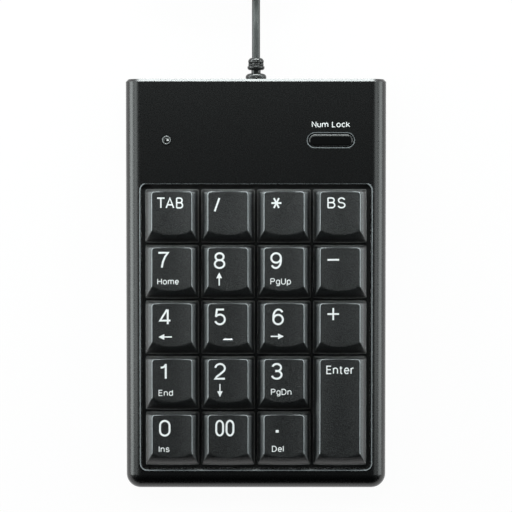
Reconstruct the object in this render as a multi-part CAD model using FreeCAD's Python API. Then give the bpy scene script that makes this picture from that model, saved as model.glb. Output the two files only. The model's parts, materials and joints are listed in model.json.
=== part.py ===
"""Numeric keypad with a membrane key switch stack, a Num Lock button and a cord.

Millimetres. X points right, Y to the back, Z up, and the origin is the bottom centre of the
housing. The keys and all that lies under them are drawn in the deck's own frame, where u runs
right, v runs up the slope to the back and n stands square to the panel, and are then tilted.
"""
import FreeCAD
import Part
import math
import os

V = FreeCAD.Vector

# Housing
BODY_WIDTH = 88.9
BODY_LENGTH = 139.8
DECK_SLOPE = 4.5                # degrees, rising to the back
PANEL_HEIGHT = 19.5             # of the panel plane, at the middle of the body
PARTING_HEIGHT = 7.0            # where the two halves of the case meet
CASE_BOTTOM = 1.0               # the feet hold the case this far off the table
FLOOR_THICK = 1.8
WALL = 2.0
PANEL_THICK = 2.2
SHOULDER_ROUND = 5.3            # long side edges of the top
FRONT_ROUND = 4.8               # front edge and front corners
BACK_ROUND = 1.2                # upright corners at the back
BACK_CHAMFER = 0.85             # along the top of the back wall
BOTTOM_ROUND = 1.0
LIP_HEIGHT = 1.2
LIP_THICK = 0.9
SLIDE_GAP = 0.1                 # play of a fit that slides
TOUCH_GAP = 0.1                 # air between two parts that only stop each other

# Key field, in the deck's frame
KEY_PITCH = 19.05
COLUMNS = [(i - 1.5) * KEY_PITCH for i in range(4)]
ROW_3 = -14.7                   # the middle row
ROWS = [ROW_3 + (2 - i) * KEY_PITCH for i in range(5)]
WELL_HALF_WIDTH = 39.1
WELL_FRONT = -63.6
WELL_BACK = 34.0
WELL_CORNER_FRONT = 1.8
WELL_CORNER_BACK = 1.0
RIM_CHAMFER = 0.4               # width of the shallow chamfer round the well
RIM_DEPTH = 0.12
WELL_WALL = 1.5
CURTAIN_CORNER = 2.5

# Keycaps
KEY_GAP = 0.85
KEY_HEIGHT = 8.0
KEY_TRAVEL = 3.5
TOP_SIDE_INSET = 2.35
TOP_FRONT_INSET = 3.45
TOP_BACK_INSET = 0.35
KEY_BASE_CORNER = 1.0
KEY_TOP_CORNER = 1.3
KEY_WALL = 1.2
KEY_CEILING = 5.8
DISH_DEPTH = 0.7
STEM = 5.0
STEM_BORE = 3.0
STEM_BOTTOM = -6.0
STEM_PAD = 1.2
BARB_REACH = 0.45
BARB_WIDTH = 2.5
HOMING_BAR = (3.9, 0.8, 0.35)   # length, width and height of the raised bar on the middle key

# Stack under the keys, heights along n
DECK_TOP = -4.0
DECK_THICK = 1.2
SLEEVE_TOP = 1.4
SLEEVE_WALL = 1.2
SLEEVE_PLAY = 0.15
SHEET_THICK = 0.4
SHEET_TOP = -10.2
DOME_TOP = -6.1
DOME_BASE_RADIUS = 4.9
DOME_SKIRT_RADIUS = 4.4
DOME_SHOULDER_RADIUS = 3.1
DOME_TOP_RADIUS = 2.7
DOME_SKIN = 0.6
PLUNGER_TIP = (1.2, -8.4)       # radius and height of the dome's inner pin
CONTACT_HOLE = 3.0              # radius of the spacer film's holes
FILM_THICK = 0.1
PLATE_THICK = 0.5
STACK_HALF_WIDTH = 41.2
STACK_FRONT = -65.4
STACK_BACK = 36.2
DECK_FRAME_WALL = 1.3
FILM_TOP = SHEET_TOP - SHEET_THICK
PLATE_TOP = FILM_TOP - 3 * FILM_THICK
PLATE_BOTTOM = PLATE_TOP - PLATE_THICK
DECK_SCREWS = [(-KEY_PITCH, 13.875), (KEY_PITCH, 13.875), (0, -5.175), (0, -24.225),
               (-KEY_PITCH, -43.275), (KEY_PITCH, -43.275)]
BOSS_RADIUS = 2.4
PILOT_RADIUS = 0.8
CLEARANCE_RADIUS = 1.15

# Stabiliser of the tall key
TALL_V = (ROWS[3] + ROWS[4]) / 2
TALL_LENGTH = 2 * KEY_PITCH - KEY_GAP
WIRE_RADIUS = 0.6
WIRE_U = 23.0
WIRE_N = -1.5
WIRE_ARM = 7.0
WIRE_HALF_SPAN = 11.0
TIP_LENGTH = 2.8
CLIP_SPREAD = 6.5
CLIP_HALF_THICK = 0.9
HOOK_SPREAD = WIRE_HALF_SPAN - 1.7
WIRE_SWING = math.degrees(math.asin(KEY_TRAVEL / 2 / WIRE_ARM))

# Electronics behind the key field
BOARD = (-34.5, 33.5, 38.0, 55.5)   # u and v limits
BOARD_TOP = PLATE_TOP
BOARD_THICK = 1.6
TAIL = (-13.0, 5.0, 43.0)           # u limits and back end of the film's tail
CLAMP_SCREW_U = (-15.5, 7.5)
CLAMP_V = (39.2, 42.8)
BOARD_SCREWS = [(-24.5, 52.2), (30.8, 52.2)]
LED_U = -30.5
LED_V = 49.2
LED_HOLE = 1.6
LED_RADIUS = 1.5
BUTTON_U = 25.5
BUTTON_V = 49.2
BUTTON_LENGTH = 15.0
BUTTON_WIDTH = 4.0
BUTTON_PLAY = 0.4
BUTTON_PROUD = 0.8
BUTTON_TRAVEL = 0.4
HOLE_CHAMFER = 0.25             # round the light's and the button's holes
FLANGE_TOP = -PANEL_THICK - TOUCH_GAP
FLANGE_BOTTOM = -3.4
CHIP = (11.0, 18.0, 42.0, 53.0)     # u and v limits
CHIP_PITCH = 1.27
CHIP_LEGS = 8                       # on each side
CRYSTAL_PLACE = (-21.5, 45.5)
CAPACITOR_PLACES = [(-17.5, 51.5), (-13.5, 51.5), (7.0, 47.0)]
CLAMP_THICK = 2.2
TACT_HEIGHT = 3.5
TACT_SIDE = 6.0
PLUNGER_TOP = -6.5
PLUNGER_RADIUS = 1.7

HEADER_U = -4.0
HEADER_V = 50.0
HEADER_SIZE = (10.0, 4.5, 4.0)
PIN_PITCH = 2.0
LEAD_PLACES = (-1.5, -0.5, 0.5, 1.5)
LEAD_RADIUS = 0.28
LEAD_PITCH = 0.6                # where the leads enter the cord's jacket
JACKET_END = 63.0

# Case fasteners and feet
CASE_SCREWS = [(-24.0, 62.0), (24.0, 62.0)]
CASE_SCREW_LENGTH = 9.0
COUNTERBORE_DEPTH = 3.0
COUNTERBORE_RADIUS = 2.2
POST_WALL = 0.6                 # what the case's posts have more than a plain boss
HOOK_PLACES = (-22.0, 22.0)
HOOK_HALF_WIDTH = 4.0
HOOK_THICK = 1.3
HOOK_TOP = PARTING_HEIGHT + 2.8
NOSE_HEIGHT = 1.1
NOSE_REACH = 0.6
FOOT_RADIUS = 4.5
FOOT_PLACES = {"left": -34.0, "right": 34.0}, {"front": -58.0, "back": 58.0}
FOOT_THICK = 1.6
RIBS = [-30.0, -9.5, 9.5, 30.0]
RIB_THICK = 1.2
RIB_ENDS = (-62.0, 33.0)

# Cord, its strain relief and its plug
CORD_RADIUS = 1.4
CORD_HEIGHT = 7.0
COIL_LIFT = 0.5                 # the ties' thickness
COIL_RADII = (9.9, 21.1)
COIL_LAYERS = 2
COIL_CENTRE = (-19.7, 125.0)
TIE_ANGLES = (60, 200)
TIE_HALF_WIDTH = 3.0
TIE_PLAY = (0.6, 0.3)           # inside and outside the ring
BOOT_LENGTH = 7.95
BOOT_COLLAR = 3.65
BOOT_INNER_FLANGE = (3.6, 1.6)  # radius and thickness of the ring inside the wall
NECK_RADIUS = 2.45
NECK_PLAY = 0.05
BOOT_PROFILE = [                # distance behind the back wall, and radius
    (0, BOOT_COLLAR), (2.2, BOOT_COLLAR), (2.65, 3.3), (2.75, 1.65), (3.75, 1.65), (3.9, 2.75),
    (4.15, 3.0), (5.1, 2.95), (5.2, 2.85), (6.3, 2.82), (7.2, 2.6), (BOOT_LENGTH, 2.05),
]
BOOT_SLOTS = (5.2, 6.2)         # where the four slots of the nose start and end
BOOT_SLOT_HALF_WIDTH = 1.3
BOOT_SLOT_FLOOR = 1.7           # distance of a slot's floor from the axis
CORD_START = BODY_LENGTH / 2 + BOOT_LENGTH
FLOOR_LINE = CORD_RADIUS
FIRST_LAYER = COIL_LIFT + CORD_RADIUS
TOP_LAYER = COIL_LIFT + 3 * CORD_RADIUS
PLUG_X = 15.8
PLUG_HEIGHT = 4.0
CORD_ROUTE = [
    (0, CORD_START, CORD_HEIGHT),
    (0, 85.5, CORD_HEIGHT),
    (0, 95.5, 2.6),
    (0, 103.5, FLOOR_LINE),
    (0, 114.2, FIRST_LAYER),
    (0, 125.0, FIRST_LAYER),
]
TAIL_ROUTE = [
    (-19.7, 105.3, TOP_LAYER),
    (-8.5, 105.3, TOP_LAYER),
    (3.5, 105.6, 4.5),
    (11.5, 108.6, 3.0),
    (PLUG_X, 114.5, PLUG_HEIGHT),
    (PLUG_X, 121.0, PLUG_HEIGHT),
]
RELIEF_LENGTH = 6.0
RELIEF_RIBS = 3
RELIEF_RIB_PITCH = 1.9
OVERMOULD = (15.6, 19.0, 8.0)   # width, length and height
OVERMOULD_ROUND = 2.2
SHELL_GRIP = 5.0                # how deep the sleeve sits in the moulding
SHELL = (12.0, 12.5, 4.5)
SHELL_WALL = 0.3
TONGUE_THICK = 1.9
WINDOW = (2.2, 2.2)             # width and length of each window in the sleeve
WINDOW_SPREAD = 3.0
WINDOW_BACK = 7.4               # from the sleeve's mouth to the window's far side
CONTACTS = [(-3.5, 8.6), (-1.0, 7.4), (1.0, 7.4), (3.5, 8.6)]   # place and length

SLOPE_UP = math.tan(math.radians(DECK_SLOPE))
DECK_PLACE = FreeCAD.Placement(V(0, 0, PANEL_HEIGHT), FreeCAD.Rotation(V(1, 0, 0), DECK_SLOPE))
UP = V(0, 0, 1)
BACKWARD = V(0, 1, 0)
RIGHT = V(1, 0, 0)
FAR = 60.0                      # longer than any half width, for cutting tools


# ---------------------------------------------------------------- helpers
def on_deck(shape):
    """Tilts a shape drawn in the deck's frame into place."""
    placed = shape.copy()
    placed.transformShape(DECK_PLACE.toMatrix())
    return placed


def block(x0, x1, y0, y1, z0, z1):
    return Part.makeBox(x1 - x0, y1 - y0, z1 - z0, V(x0, y0, z0))


def rod(x, y, z0, z1, radius):
    return Part.makeCylinder(radius, z1 - z0, V(x, y, z0), UP)


def joined(shapes):
    """One clean solid made of shapes that overlap or touch."""
    return shapes[0].fuse(shapes[1:]).removeSplitter()


def without(shape, tools):
    return shape.cut(tools).removeSplitter()


def rounded_wire(x0, x1, y0, y1, z, radii):
    """Closed rectangle with round corners, in the order front right, back right, back left, front left."""
    corners = [(x1, y0, 1, -1), (x1, y1, 1, 1), (x0, y1, -1, 1), (x0, y0, -1, -1)]
    arcs = []
    for (x, y, sx, sy), r in zip(corners, radii):
        centre = V(x - sx * r, y - sy * r, z)
        flat = r * math.sqrt(0.5)
        on_x, on_y = V(x, y - sy * r, z), V(x - sx * r, y, z)
        middle = centre + V(sx * flat, sy * flat, 0)
        start, end = (on_x, on_y) if sx * sy > 0 else (on_y, on_x)
        arcs.append((start, middle, end))
    edges = []
    for i, (start, middle, end) in enumerate(arcs):
        edges.append(Part.Arc(start, middle, end).toShape())
        edges.append(Part.LineSegment(end, arcs[(i + 1) % 4][0]).toShape())
    return Part.Wire(edges)


def rounded_prism(x0, x1, y0, y1, z0, z1, radii):
    face = Part.Face(rounded_wire(x0, x1, y0, y1, z0, radii))
    return face.extrude(V(0, 0, z1 - z0))


def stadium(x, y, length, width, z0, z1):
    """Prism of a slot shape with full round ends."""
    r = width / 2
    reach = length / 2 - r
    middle = block(x - reach, x + reach, y - r, y + r, z0, z1)
    return joined([middle, rod(x - reach, y, z0, z1, r), rod(x + reach, y, z0, z1, r)])


def turned(profile, axis_point, axis):
    """Solid of revolution of a closed list of points."""
    points = [V(*p) for p in profile]
    wire = Part.makePolygon(points + points[:1])
    return Part.Face(wire).revolve(axis_point, axis, 360)


def bend_radii(route):
    """Radius of the arc at each inner point: 0.45 of the shorter run over the tangent of half the turn."""
    points = [V(*p) for p in route]
    radii = []
    for before, here, after in zip(points, points[1:], points[2:]):
        run_in, run_out = here - before, after - here
        turn = run_in.getAngle(run_out)
        radii.append(0.45 * min(run_in.Length, run_out.Length) / math.tan(turn / 2))
    return radii


def route_wire(route):
    """Straight runs joined by tangent arcs."""
    points = [V(*p) for p in route]
    edges = []
    start = points[0]
    for here, after, before, r in zip(points[1:], points[2:], points, bend_radii(route)):
        back, on = (before - here).normalize(), (after - here).normalize()
        cut = r * math.tan((math.pi - back.getAngle(on)) / 2)
        first, last = here + back * cut, here + on * cut
        bisector = (back + on).normalize()
        centre = here + bisector * math.hypot(r, cut)
        edges.append(Part.LineSegment(start, first).toShape())
        edges.append(Part.Arc(first, centre - bisector * r, last).toShape())
        start = last
    edges.append(Part.LineSegment(start, points[-1]).toShape())
    return Part.Wire(edges)


def tube(route, radius):
    path = route_wire(route)
    start = V(*route[0])
    section = Part.Wire(Part.makeCircle(radius, start, V(*route[1]) - start))
    solid = path.makePipeShell([section], True, False)
    expected = math.pi * radius ** 2 * path.Length
    print("tube volume over section times length:", round(solid.Volume / expected, 4))
    return solid


# ---------------------------------------------------------------- housing
def panel_z(y):
    return PANEL_HEIGHT + y * SLOPE_UP


def housing_block(inset, drop, low):
    """Solid under a sloping top, drawn in by inset and lowered by drop, with its upper edges round."""
    half_w = BODY_WIDTH / 2 - inset
    half_l = BODY_LENGTH / 2 - inset
    side = Part.makePolygon([
        V(-half_w, -half_l, low),
        V(-half_w, half_l, low),
        V(-half_w, half_l, panel_z(half_l) - drop),
        V(-half_w, -half_l, panel_z(-half_l) - drop),
        V(-half_w, -half_l, low),
    ])
    solid = Part.Face(side).extrude(V(2 * half_w, 0, 0))
    solid = solid.makeFillet(SHOULDER_ROUND - inset, long_top_edges(solid, half_l))
    solid = solid.makeFillet(FRONT_ROUND - inset, end_top_edge(solid, -half_l))
    if inset < BACK_CHAMFER:
        solid = solid.makeChamfer(BACK_CHAMFER - inset / 2, end_top_edge(solid, half_l))
    return solid


def long_top_edges(solid, half_l):
    return [e for e in solid.Edges
            if e.BoundBox.XLength < 1e-6 and e.BoundBox.YLength > half_l and e.BoundBox.ZLength > 1]


def end_top_edge(solid, y):
    return [e for e in solid.Edges
            if e.BoundBox.YLength < 1e-6 and abs(e.BoundBox.YMin - y) < 1e-6
            and e.BoundBox.XLength > BODY_WIDTH / 2 and e.BoundBox.ZMax > PARTING_HEIGHT + 1]


def plan_prism(inset, low, high):
    """Upright prism of the case's outline, drawn in by inset."""
    half_w = BODY_WIDTH / 2 - inset
    half_l = BODY_LENGTH / 2 - inset
    front = FRONT_ROUND - inset
    back = max(BACK_ROUND - inset, 0.2)
    return rounded_prism(-half_w, half_w, -half_l, half_l, low, high, (front, back, back, front))


def well_cutter():
    """The well's opening with its chamfered rim."""
    radii = (WELL_CORNER_FRONT, WELL_CORNER_BACK, WELL_CORNER_BACK, WELL_CORNER_FRONT)
    low = rounded_prism(-WELL_HALF_WIDTH, WELL_HALF_WIDTH, WELL_FRONT, WELL_BACK,
                        DECK_TOP - 2, 1, radii)
    over = RIM_CHAMFER * (1 + 0.1 / RIM_DEPTH)
    wide = rounded_wire(-WELL_HALF_WIDTH - over, WELL_HALF_WIDTH + over, WELL_FRONT - over,
                        WELL_BACK + over, 0.1, [r + over for r in radii])
    narrow = rounded_wire(-WELL_HALF_WIDTH, WELL_HALF_WIDTH, WELL_FRONT, WELL_BACK,
                          -RIM_DEPTH, radii)
    return [low, Part.makeLoft([narrow, wide], True, True)]


def slot_cutter(u, v, length, width):
    """Opening of a slot shape with a chamfered rim."""
    reach, side = length / 2, width / 2
    over = HOLE_CHAMFER + 0.1
    wires = []
    for more, n in ((0, -HOLE_CHAMFER), (over, 0.1)):
        wires.append(rounded_wire(u - reach - more, u + reach + more, v - side - more,
                                  v + side + more, n, [side + more - 0.01] * 4))
    return [stadium(u, v, length, width, -5, 1), Part.makeLoft(wires, True, True)]


def round_cutter(u, v, radius):
    """Round opening with a chamfered rim."""
    over = HOLE_CHAMFER + 0.1
    flare = Part.makeCone(radius, radius + over, over, V(u, v, -HOLE_CHAMFER), UP)
    return [rod(u, v, -5, 1, radius), flare]


def well_curtain():
    """Wall that hangs from the rim down to the key deck."""
    w = WELL_WALL
    return rounded_prism(-WELL_HALF_WIDTH - w, WELL_HALF_WIDTH + w, WELL_FRONT - w, WELL_BACK + w,
                         DECK_TOP, -PANEL_THICK + 0.5, (CURTAIN_CORNER,) * 4)


def top_case():
    outer = housing_block(0, 0, PARTING_HEIGHT)
    inner = housing_block(WALL, PANEL_THICK / math.cos(math.radians(DECK_SLOPE)),
                          PARTING_HEIGHT - 1)
    shell = outer.cut(inner)
    posts = [rod(x, y, PARTING_HEIGHT, panel_z(y) - 1, BOSS_RADIUS + POST_WALL)
             for x, y in CASE_SCREWS]
    shell = joined([shell, on_deck(well_curtain())] + posts)
    tools = [on_deck(t) for t in well_cutter()]
    openings = slot_cutter(BUTTON_U, BUTTON_V, BUTTON_LENGTH + 2 * BUTTON_PLAY,
                           BUTTON_WIDTH + 2 * BUTTON_PLAY)
    openings += round_cutter(LED_U, LED_V, LED_HOLE)
    tools += [on_deck(t) for t in openings]
    tools += [rod(x, y, PARTING_HEIGHT - 1, PARTING_HEIGHT + CASE_SCREW_LENGTH, PILOT_RADIUS)
              for x, y in CASE_SCREWS]
    tools.append(neck_hole())
    tools.append(lip_ring(SLIDE_GAP))
    tools += hook_recesses()
    return without(shell, tools)


def neck_hole():
    """Bore in the back wall, half in each half of the case, for the boot's neck."""
    start = V(0, BODY_LENGTH / 2 - 2 * WALL, CORD_HEIGHT)
    return Part.makeCylinder(NECK_RADIUS + NECK_PLAY, 3 * WALL, start, BACKWARD)


def lip_ring(gap):
    """The tongue that stands inside the wall of the lower half, or with a gap the room for it."""
    inset = WALL - LIP_THICK - gap
    low = PARTING_HEIGHT - (0 if gap == 0 else 0.5)
    high = PARTING_HEIGHT + LIP_HEIGHT + gap
    return plan_prism(inset, low, high).cut(plan_prism(WALL + gap, low - 1, high + 1))


def hook_recesses():
    """Pockets in the front wall for the noses of the lower half's hooks."""
    y = -BODY_LENGTH / 2 + WALL
    half = HOOK_HALF_WIDTH + 2 * SLIDE_GAP
    depth = NOSE_REACH + 2 * SLIDE_GAP
    low = HOOK_TOP - NOSE_HEIGHT - 2 * SLIDE_GAP
    return [block(x - half, x + half, y - depth, y + 0.5, low, HOOK_TOP + SLIDE_GAP)
            for x in HOOK_PLACES]


def front_hooks():
    """Two springy hooks that stand on the floor and catch the front wall of the upper half."""
    y = -BODY_LENGTH / 2 + WALL + SLIDE_GAP
    low = CASE_BOTTOM + FLOOR_THICK - 0.2
    half = HOOK_HALF_WIDTH
    hooks = []
    for x in HOOK_PLACES:
        catch = HOOK_TOP - NOSE_HEIGHT
        nose = Part.makePolygon([
            V(x - half, y + 0.2, catch), V(x - half, y - NOSE_REACH, catch),
            V(x - half, y + 0.2, HOOK_TOP), V(x - half, y + 0.2, catch),
        ])
        hooks.append(block(x - half, x + half, y, y + HOOK_THICK, low, HOOK_TOP))
        hooks.append(Part.Face(nose).extrude(V(2 * half, 0, 0)))
    return hooks


def bottom_case():
    low, top_of_floor = CASE_BOTTOM, CASE_BOTTOM + FLOOR_THICK
    shell = plan_prism(0, low, PARTING_HEIGHT)
    rim = [e for e in shell.Edges if e.BoundBox.ZMax < low + 1e-6]
    shell = shell.makeFillet(BOTTOM_ROUND, rim)
    shell = shell.cut(plan_prism(WALL, top_of_floor, PARTING_HEIGHT + 1))
    lip = lip_ring(0)
    under_plate = on_deck(block(-FAR, FAR, -FAR, STACK_BACK - 1, -FAR, PLATE_BOTTOM))
    under_board = on_deck(block(-FAR, FAR, STACK_BACK, FAR, -FAR, BOARD_TOP - BOARD_THICK))
    half_rib = RIB_THICK / 2
    ribs = [block(x - half_rib, x + half_rib, *RIB_ENDS, top_of_floor - 0.2, PANEL_HEIGHT)
            .common(under_plate) for x in RIBS]
    places = BOARD_SCREWS + [(u, sum(CLAMP_V) / 2) for u in CLAMP_SCREW_U]
    above_floor = block(-FAR, FAR, -FAR, 2 * FAR, top_of_floor - 0.2, 40)
    posts = [on_deck(rod(u, v, -25, BOARD_TOP - BOARD_THICK, BOSS_RADIUS)).common(above_floor)
             for u, v in places]
    cups = [rod(x, y, low, PARTING_HEIGHT, COUNTERBORE_RADIUS + 1.0) for x, y in CASE_SCREWS]
    shell = joined([shell, lip] + ribs + posts + cups + front_hooks())
    tools = [on_deck(rod(u, v, -21, 0, PILOT_RADIUS)).common(above_floor) for u, v in places]
    tools += [rod(x, y, low - 1, PARTING_HEIGHT + 1, CLEARANCE_RADIUS) for x, y in CASE_SCREWS]
    tools += [rod(x, y, low - 1, low + COUNTERBORE_DEPTH, COUNTERBORE_RADIUS)
              for x, y in CASE_SCREWS]
    tools += [rod(x, y, low - 1, FOOT_THICK, FOOT_RADIUS) for _, x, y in feet_places()]
    tools.append(neck_hole())
    half = BOOT_COLLAR + 2
    tools.append(block(-half, half, BODY_LENGTH / 2 - 1.5 * WALL, BODY_LENGTH / 2 - WALL + 1,
                       PARTING_HEIGHT, PARTING_HEIGHT + 2 * LIP_HEIGHT))
    return without(shell, tools)


def feet_places():
    across, along = FOOT_PLACES
    return [(f"foot_{end}_{side}", x, y) for side, x in across.items() for end, y in along.items()]


def foot(x, y):
    solid = rod(x, y, 0, FOOT_THICK, FOOT_RADIUS - 0.05)
    rim = [e for e in solid.Edges if e.BoundBox.ZMax < 1e-6]
    return solid.makeFillet(0.5, rim)


# ---------------------------------------------------------------- screws
def screw(x, y, head_z, length, head_radius=1.9, head_height=0.9):
    """Pan head screw that points up from head_z, with a cross recess."""
    shank = rod(x, y, head_z, head_z + length, PILOT_RADIUS)
    head = rod(x, y, head_z - head_height, head_z, head_radius)
    edge = [e for e in head.Edges if e.BoundBox.ZMax < head_z - head_height + 1e-6]
    head = head.makeFillet(0.35, edge)
    slots = [block(x - 1.1, x + 1.1, y - 0.2, y + 0.2, head_z - 1, head_z - 0.45),
             block(x - 0.2, x + 0.2, y - 1.1, y + 1.1, head_z - 1, head_z - 0.45)]
    return without(joined([head, shank]), slots)


def flipped_screw(x, y, head_z, length):
    """The same screw with its head on top."""
    solid = screw(x, y, head_z, length)
    solid.rotate(V(x, y, head_z), RIGHT, 180)
    return solid


# ---------------------------------------------------------------- key deck and switch stack
def key_places():
    """Name, u, v and length along v of each key."""
    names = [
        ["tab", "divide", "multiply", "backspace"],
        ["7", "8", "9", "minus"],
        ["4", "5", "6", "plus"],
        ["1", "2", "3", "enter"],
        ["0", "00", "point"],
    ]
    places = []
    for row, v in zip(names, ROWS):
        for name, u in zip(row, COLUMNS):
            tall = name == "enter"
            places.append((name, u, TALL_V if tall else v,
                           TALL_LENGTH if tall else KEY_PITCH - KEY_GAP))
    return places


def square(u, v, side, n0, n1):
    return block(u - side / 2, u + side / 2, v - side / 2, v + side / 2, n0, n1)


def key_deck():
    bottom = DECK_TOP - DECK_THICK
    plate = block(-STACK_HALF_WIDTH, STACK_HALF_WIDTH, STACK_FRONT, STACK_BACK, bottom, DECK_TOP)
    frame = block(-STACK_HALF_WIDTH, STACK_HALF_WIDTH, STACK_FRONT, STACK_BACK, SHEET_TOP, bottom)
    w = DECK_FRAME_WALL
    frame = frame.cut(block(-STACK_HALF_WIDTH + w, STACK_HALF_WIDTH - w, STACK_FRONT + w,
                            STACK_BACK - w, SHEET_TOP - 1, bottom))
    hole = STEM + 2 * SLEEVE_PLAY
    sleeves, tools = [], []
    for _, u, v, _ in key_places():
        sleeves.append(square(u, v, hole + 2 * SLEEVE_WALL, DECK_TOP, SLEEVE_TOP))
        tools.append(square(u, v, hole, bottom - 1, SLEEVE_TOP + 1))
    bosses = [rod(u, v, SHEET_TOP, bottom, BOSS_RADIUS) for u, v in DECK_SCREWS]
    tools += [rod(u, v, SHEET_TOP - 1, bottom - 0.2, PILOT_RADIUS) for u, v in DECK_SCREWS]
    clips, slots = stabiliser_seats()
    deck = joined([plate, frame] + sleeves + bosses + clips)
    return on_deck(without(deck, tools + slots))


def stabiliser_seats():
    """Two clips that hold the stabiliser's bar, and slots in the deck for the cap's hooks."""
    clips, slots = [], []
    half = WIRE_RADIUS + 0.5
    for v in (TALL_V - CLIP_SPREAD, TALL_V + CLIP_SPREAD):
        clip = block(WIRE_U - half, WIRE_U + half, v - CLIP_HALF_THICK, v + CLIP_HALF_THICK,
                     DECK_TOP, WIRE_N + 1.0)
        bore = Part.makeCylinder(WIRE_RADIUS + 0.05, 4, V(WIRE_U, v - 2, WIRE_N), BACKWARD)
        clips.append(clip.cut(bore))
    for side in (-1, 1):
        v = TALL_V + side * HOOK_SPREAD
        slots.append(block(WIRE_U + WIRE_ARM - 2.1, WIRE_U + WIRE_ARM + 1.9, v - 1.3, v + 1.3,
                           DECK_TOP - DECK_THICK - 1, DECK_TOP + 1))
    return clips, slots


def wire_tip():
    """Where the arm's tip stands at rest, in the deck's frame."""
    swing = math.radians(WIRE_SWING)
    return WIRE_U + WIRE_ARM * math.cos(swing), WIRE_N + WIRE_ARM * math.sin(swing)


def enter_stabiliser():
    """Bar, two arms and two inturned tips, at rest with the tips up."""
    tip_u, tip_n = wire_tip()
    half, r = WIRE_HALF_SPAN, WIRE_RADIUS
    rods = [Part.makeCylinder(r, 2 * half, V(WIRE_U, TALL_V - half, WIRE_N), BACKWARD)]
    for side in (-1, 1):
        v = TALL_V + side * half
        along = V(tip_u - WIRE_U, 0, tip_n - WIRE_N)
        rods.append(Part.makeCylinder(r, along.Length, V(WIRE_U, v, WIRE_N), along))
        rods += [Part.makeSphere(r, V(WIRE_U, v, WIRE_N)), Part.makeSphere(r, V(tip_u, v, tip_n))]
        rods.append(Part.makeCylinder(r, TIP_LENGTH, V(tip_u, v, tip_n), V(0, -side, 0)))
    return on_deck(joined(rods))


def stabiliser_hooks():
    """Posts under the tall cap, each with a slot that a tip lies in."""
    tip_u, tip_n = wire_tip()
    r = WIRE_RADIUS
    hooks = []
    for side in (-1, 1):
        v = TALL_V + side * HOOK_SPREAD
        post = block(tip_u - 1.5, tip_u + 1.5, v - 0.9, v + 0.9, tip_n - r - 0.6, KEY_CEILING + 0.2)
        slot = block(tip_u - r - 0.15, tip_u + r + 0.4, v - 2, v + 2, tip_n - r - 0.06, tip_n + r + 0.06)
        mouth = block(tip_u + r - 0.2, tip_u + 3, v - 2, v + 2, tip_n - 0.2, tip_n + r + 0.06)
        hooks.append(post.cut([slot, mouth]))
    return hooks


def dome_sheet():
    sheet = block(-STACK_HALF_WIDTH, STACK_HALF_WIDTH, STACK_FRONT, STACK_BACK, FILM_TOP, SHEET_TOP)
    throat = DOME_BASE_RADIUS - 1.0
    pin, pin_end = PLUNGER_TIP
    ceiling = DOME_TOP - DOME_SKIN
    profile = [
        (throat, 0, FILM_TOP), (DOME_BASE_RADIUS, 0, FILM_TOP), (DOME_BASE_RADIUS, 0, SHEET_TOP),
        (DOME_SKIRT_RADIUS, 0, SHEET_TOP + 0.4), (DOME_SHOULDER_RADIUS, 0, DOME_TOP - 0.7),
        (DOME_TOP_RADIUS, 0, DOME_TOP), (0, 0, DOME_TOP), (0, 0, pin_end), (pin, 0, pin_end),
        (pin, 0, ceiling), (DOME_TOP_RADIUS - 0.4, 0, ceiling),
    ]
    dome = turned(profile, V(0, 0, 0), UP)
    domes, throats = [], []
    for _, u, v, _ in key_places():
        domes.append(dome.translated(V(u, v, 0)))
        throats.append(rod(u, v, FILM_TOP - 1, SHEET_TOP + 0.1, throat))
    throats += [rod(u, v, FILM_TOP - 1, SHEET_TOP + 1, CLEARANCE_RADIUS) for u, v in DECK_SCREWS]
    return on_deck(joined([sheet.cut(throats)] + domes))


def film(layer, holes=0.0, tail=False):
    """One plastic film of the switch: layer 0 is the upper one."""
    top = FILM_TOP - layer * FILM_THICK
    bottom = top - FILM_THICK
    sheet = block(-STACK_HALF_WIDTH, STACK_HALF_WIDTH, STACK_FRONT, STACK_BACK, bottom, top)
    if tail:
        sheet = joined([sheet, block(TAIL[0], TAIL[1], STACK_BACK - 1, TAIL[2], bottom, top)])
    tools = [rod(u, v, bottom - 1, top + 1, CLEARANCE_RADIUS) for u, v in DECK_SCREWS]
    if holes:
        tools += [rod(u, v, bottom - 1, top + 1, holes) for _, u, v, _ in key_places()]
    return on_deck(sheet.cut(tools))


def backing_plate():
    plate = block(-STACK_HALF_WIDTH, STACK_HALF_WIDTH, STACK_FRONT, STACK_BACK, PLATE_BOTTOM,
                  PLATE_TOP)
    holes = [rod(u, v, PLATE_BOTTOM - 1, PLATE_TOP + 1, CLEARANCE_RADIUS) for u, v in DECK_SCREWS]
    return on_deck(plate.cut(holes))


def deck_screws():
    return on_deck(Part.makeCompound([screw(u, v, PLATE_BOTTOM, 4.6) for u, v in DECK_SCREWS]))


# ---------------------------------------------------------------- keycaps
def cap_loft(u, v, half_length, low, high, inset):
    """Tapered block of a cap between two heights, drawn in by inset for the hollow."""
    half_width = (KEY_PITCH - KEY_GAP) / 2
    wires = []
    for n in (low, high):
        share = n / KEY_HEIGHT
        corner = KEY_BASE_CORNER + share * (KEY_TOP_CORNER - KEY_BASE_CORNER)
        side = half_width - share * TOP_SIDE_INSET - inset
        front = v - half_length + share * TOP_FRONT_INSET + inset
        back = v + half_length - share * TOP_BACK_INSET - inset
        r = max(corner - inset, 0.3)
        wires.append(rounded_wire(u - side, u + side, front, back, n, (r, r, r, r)))
    return Part.makeLoft(wires, True, True)


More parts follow.
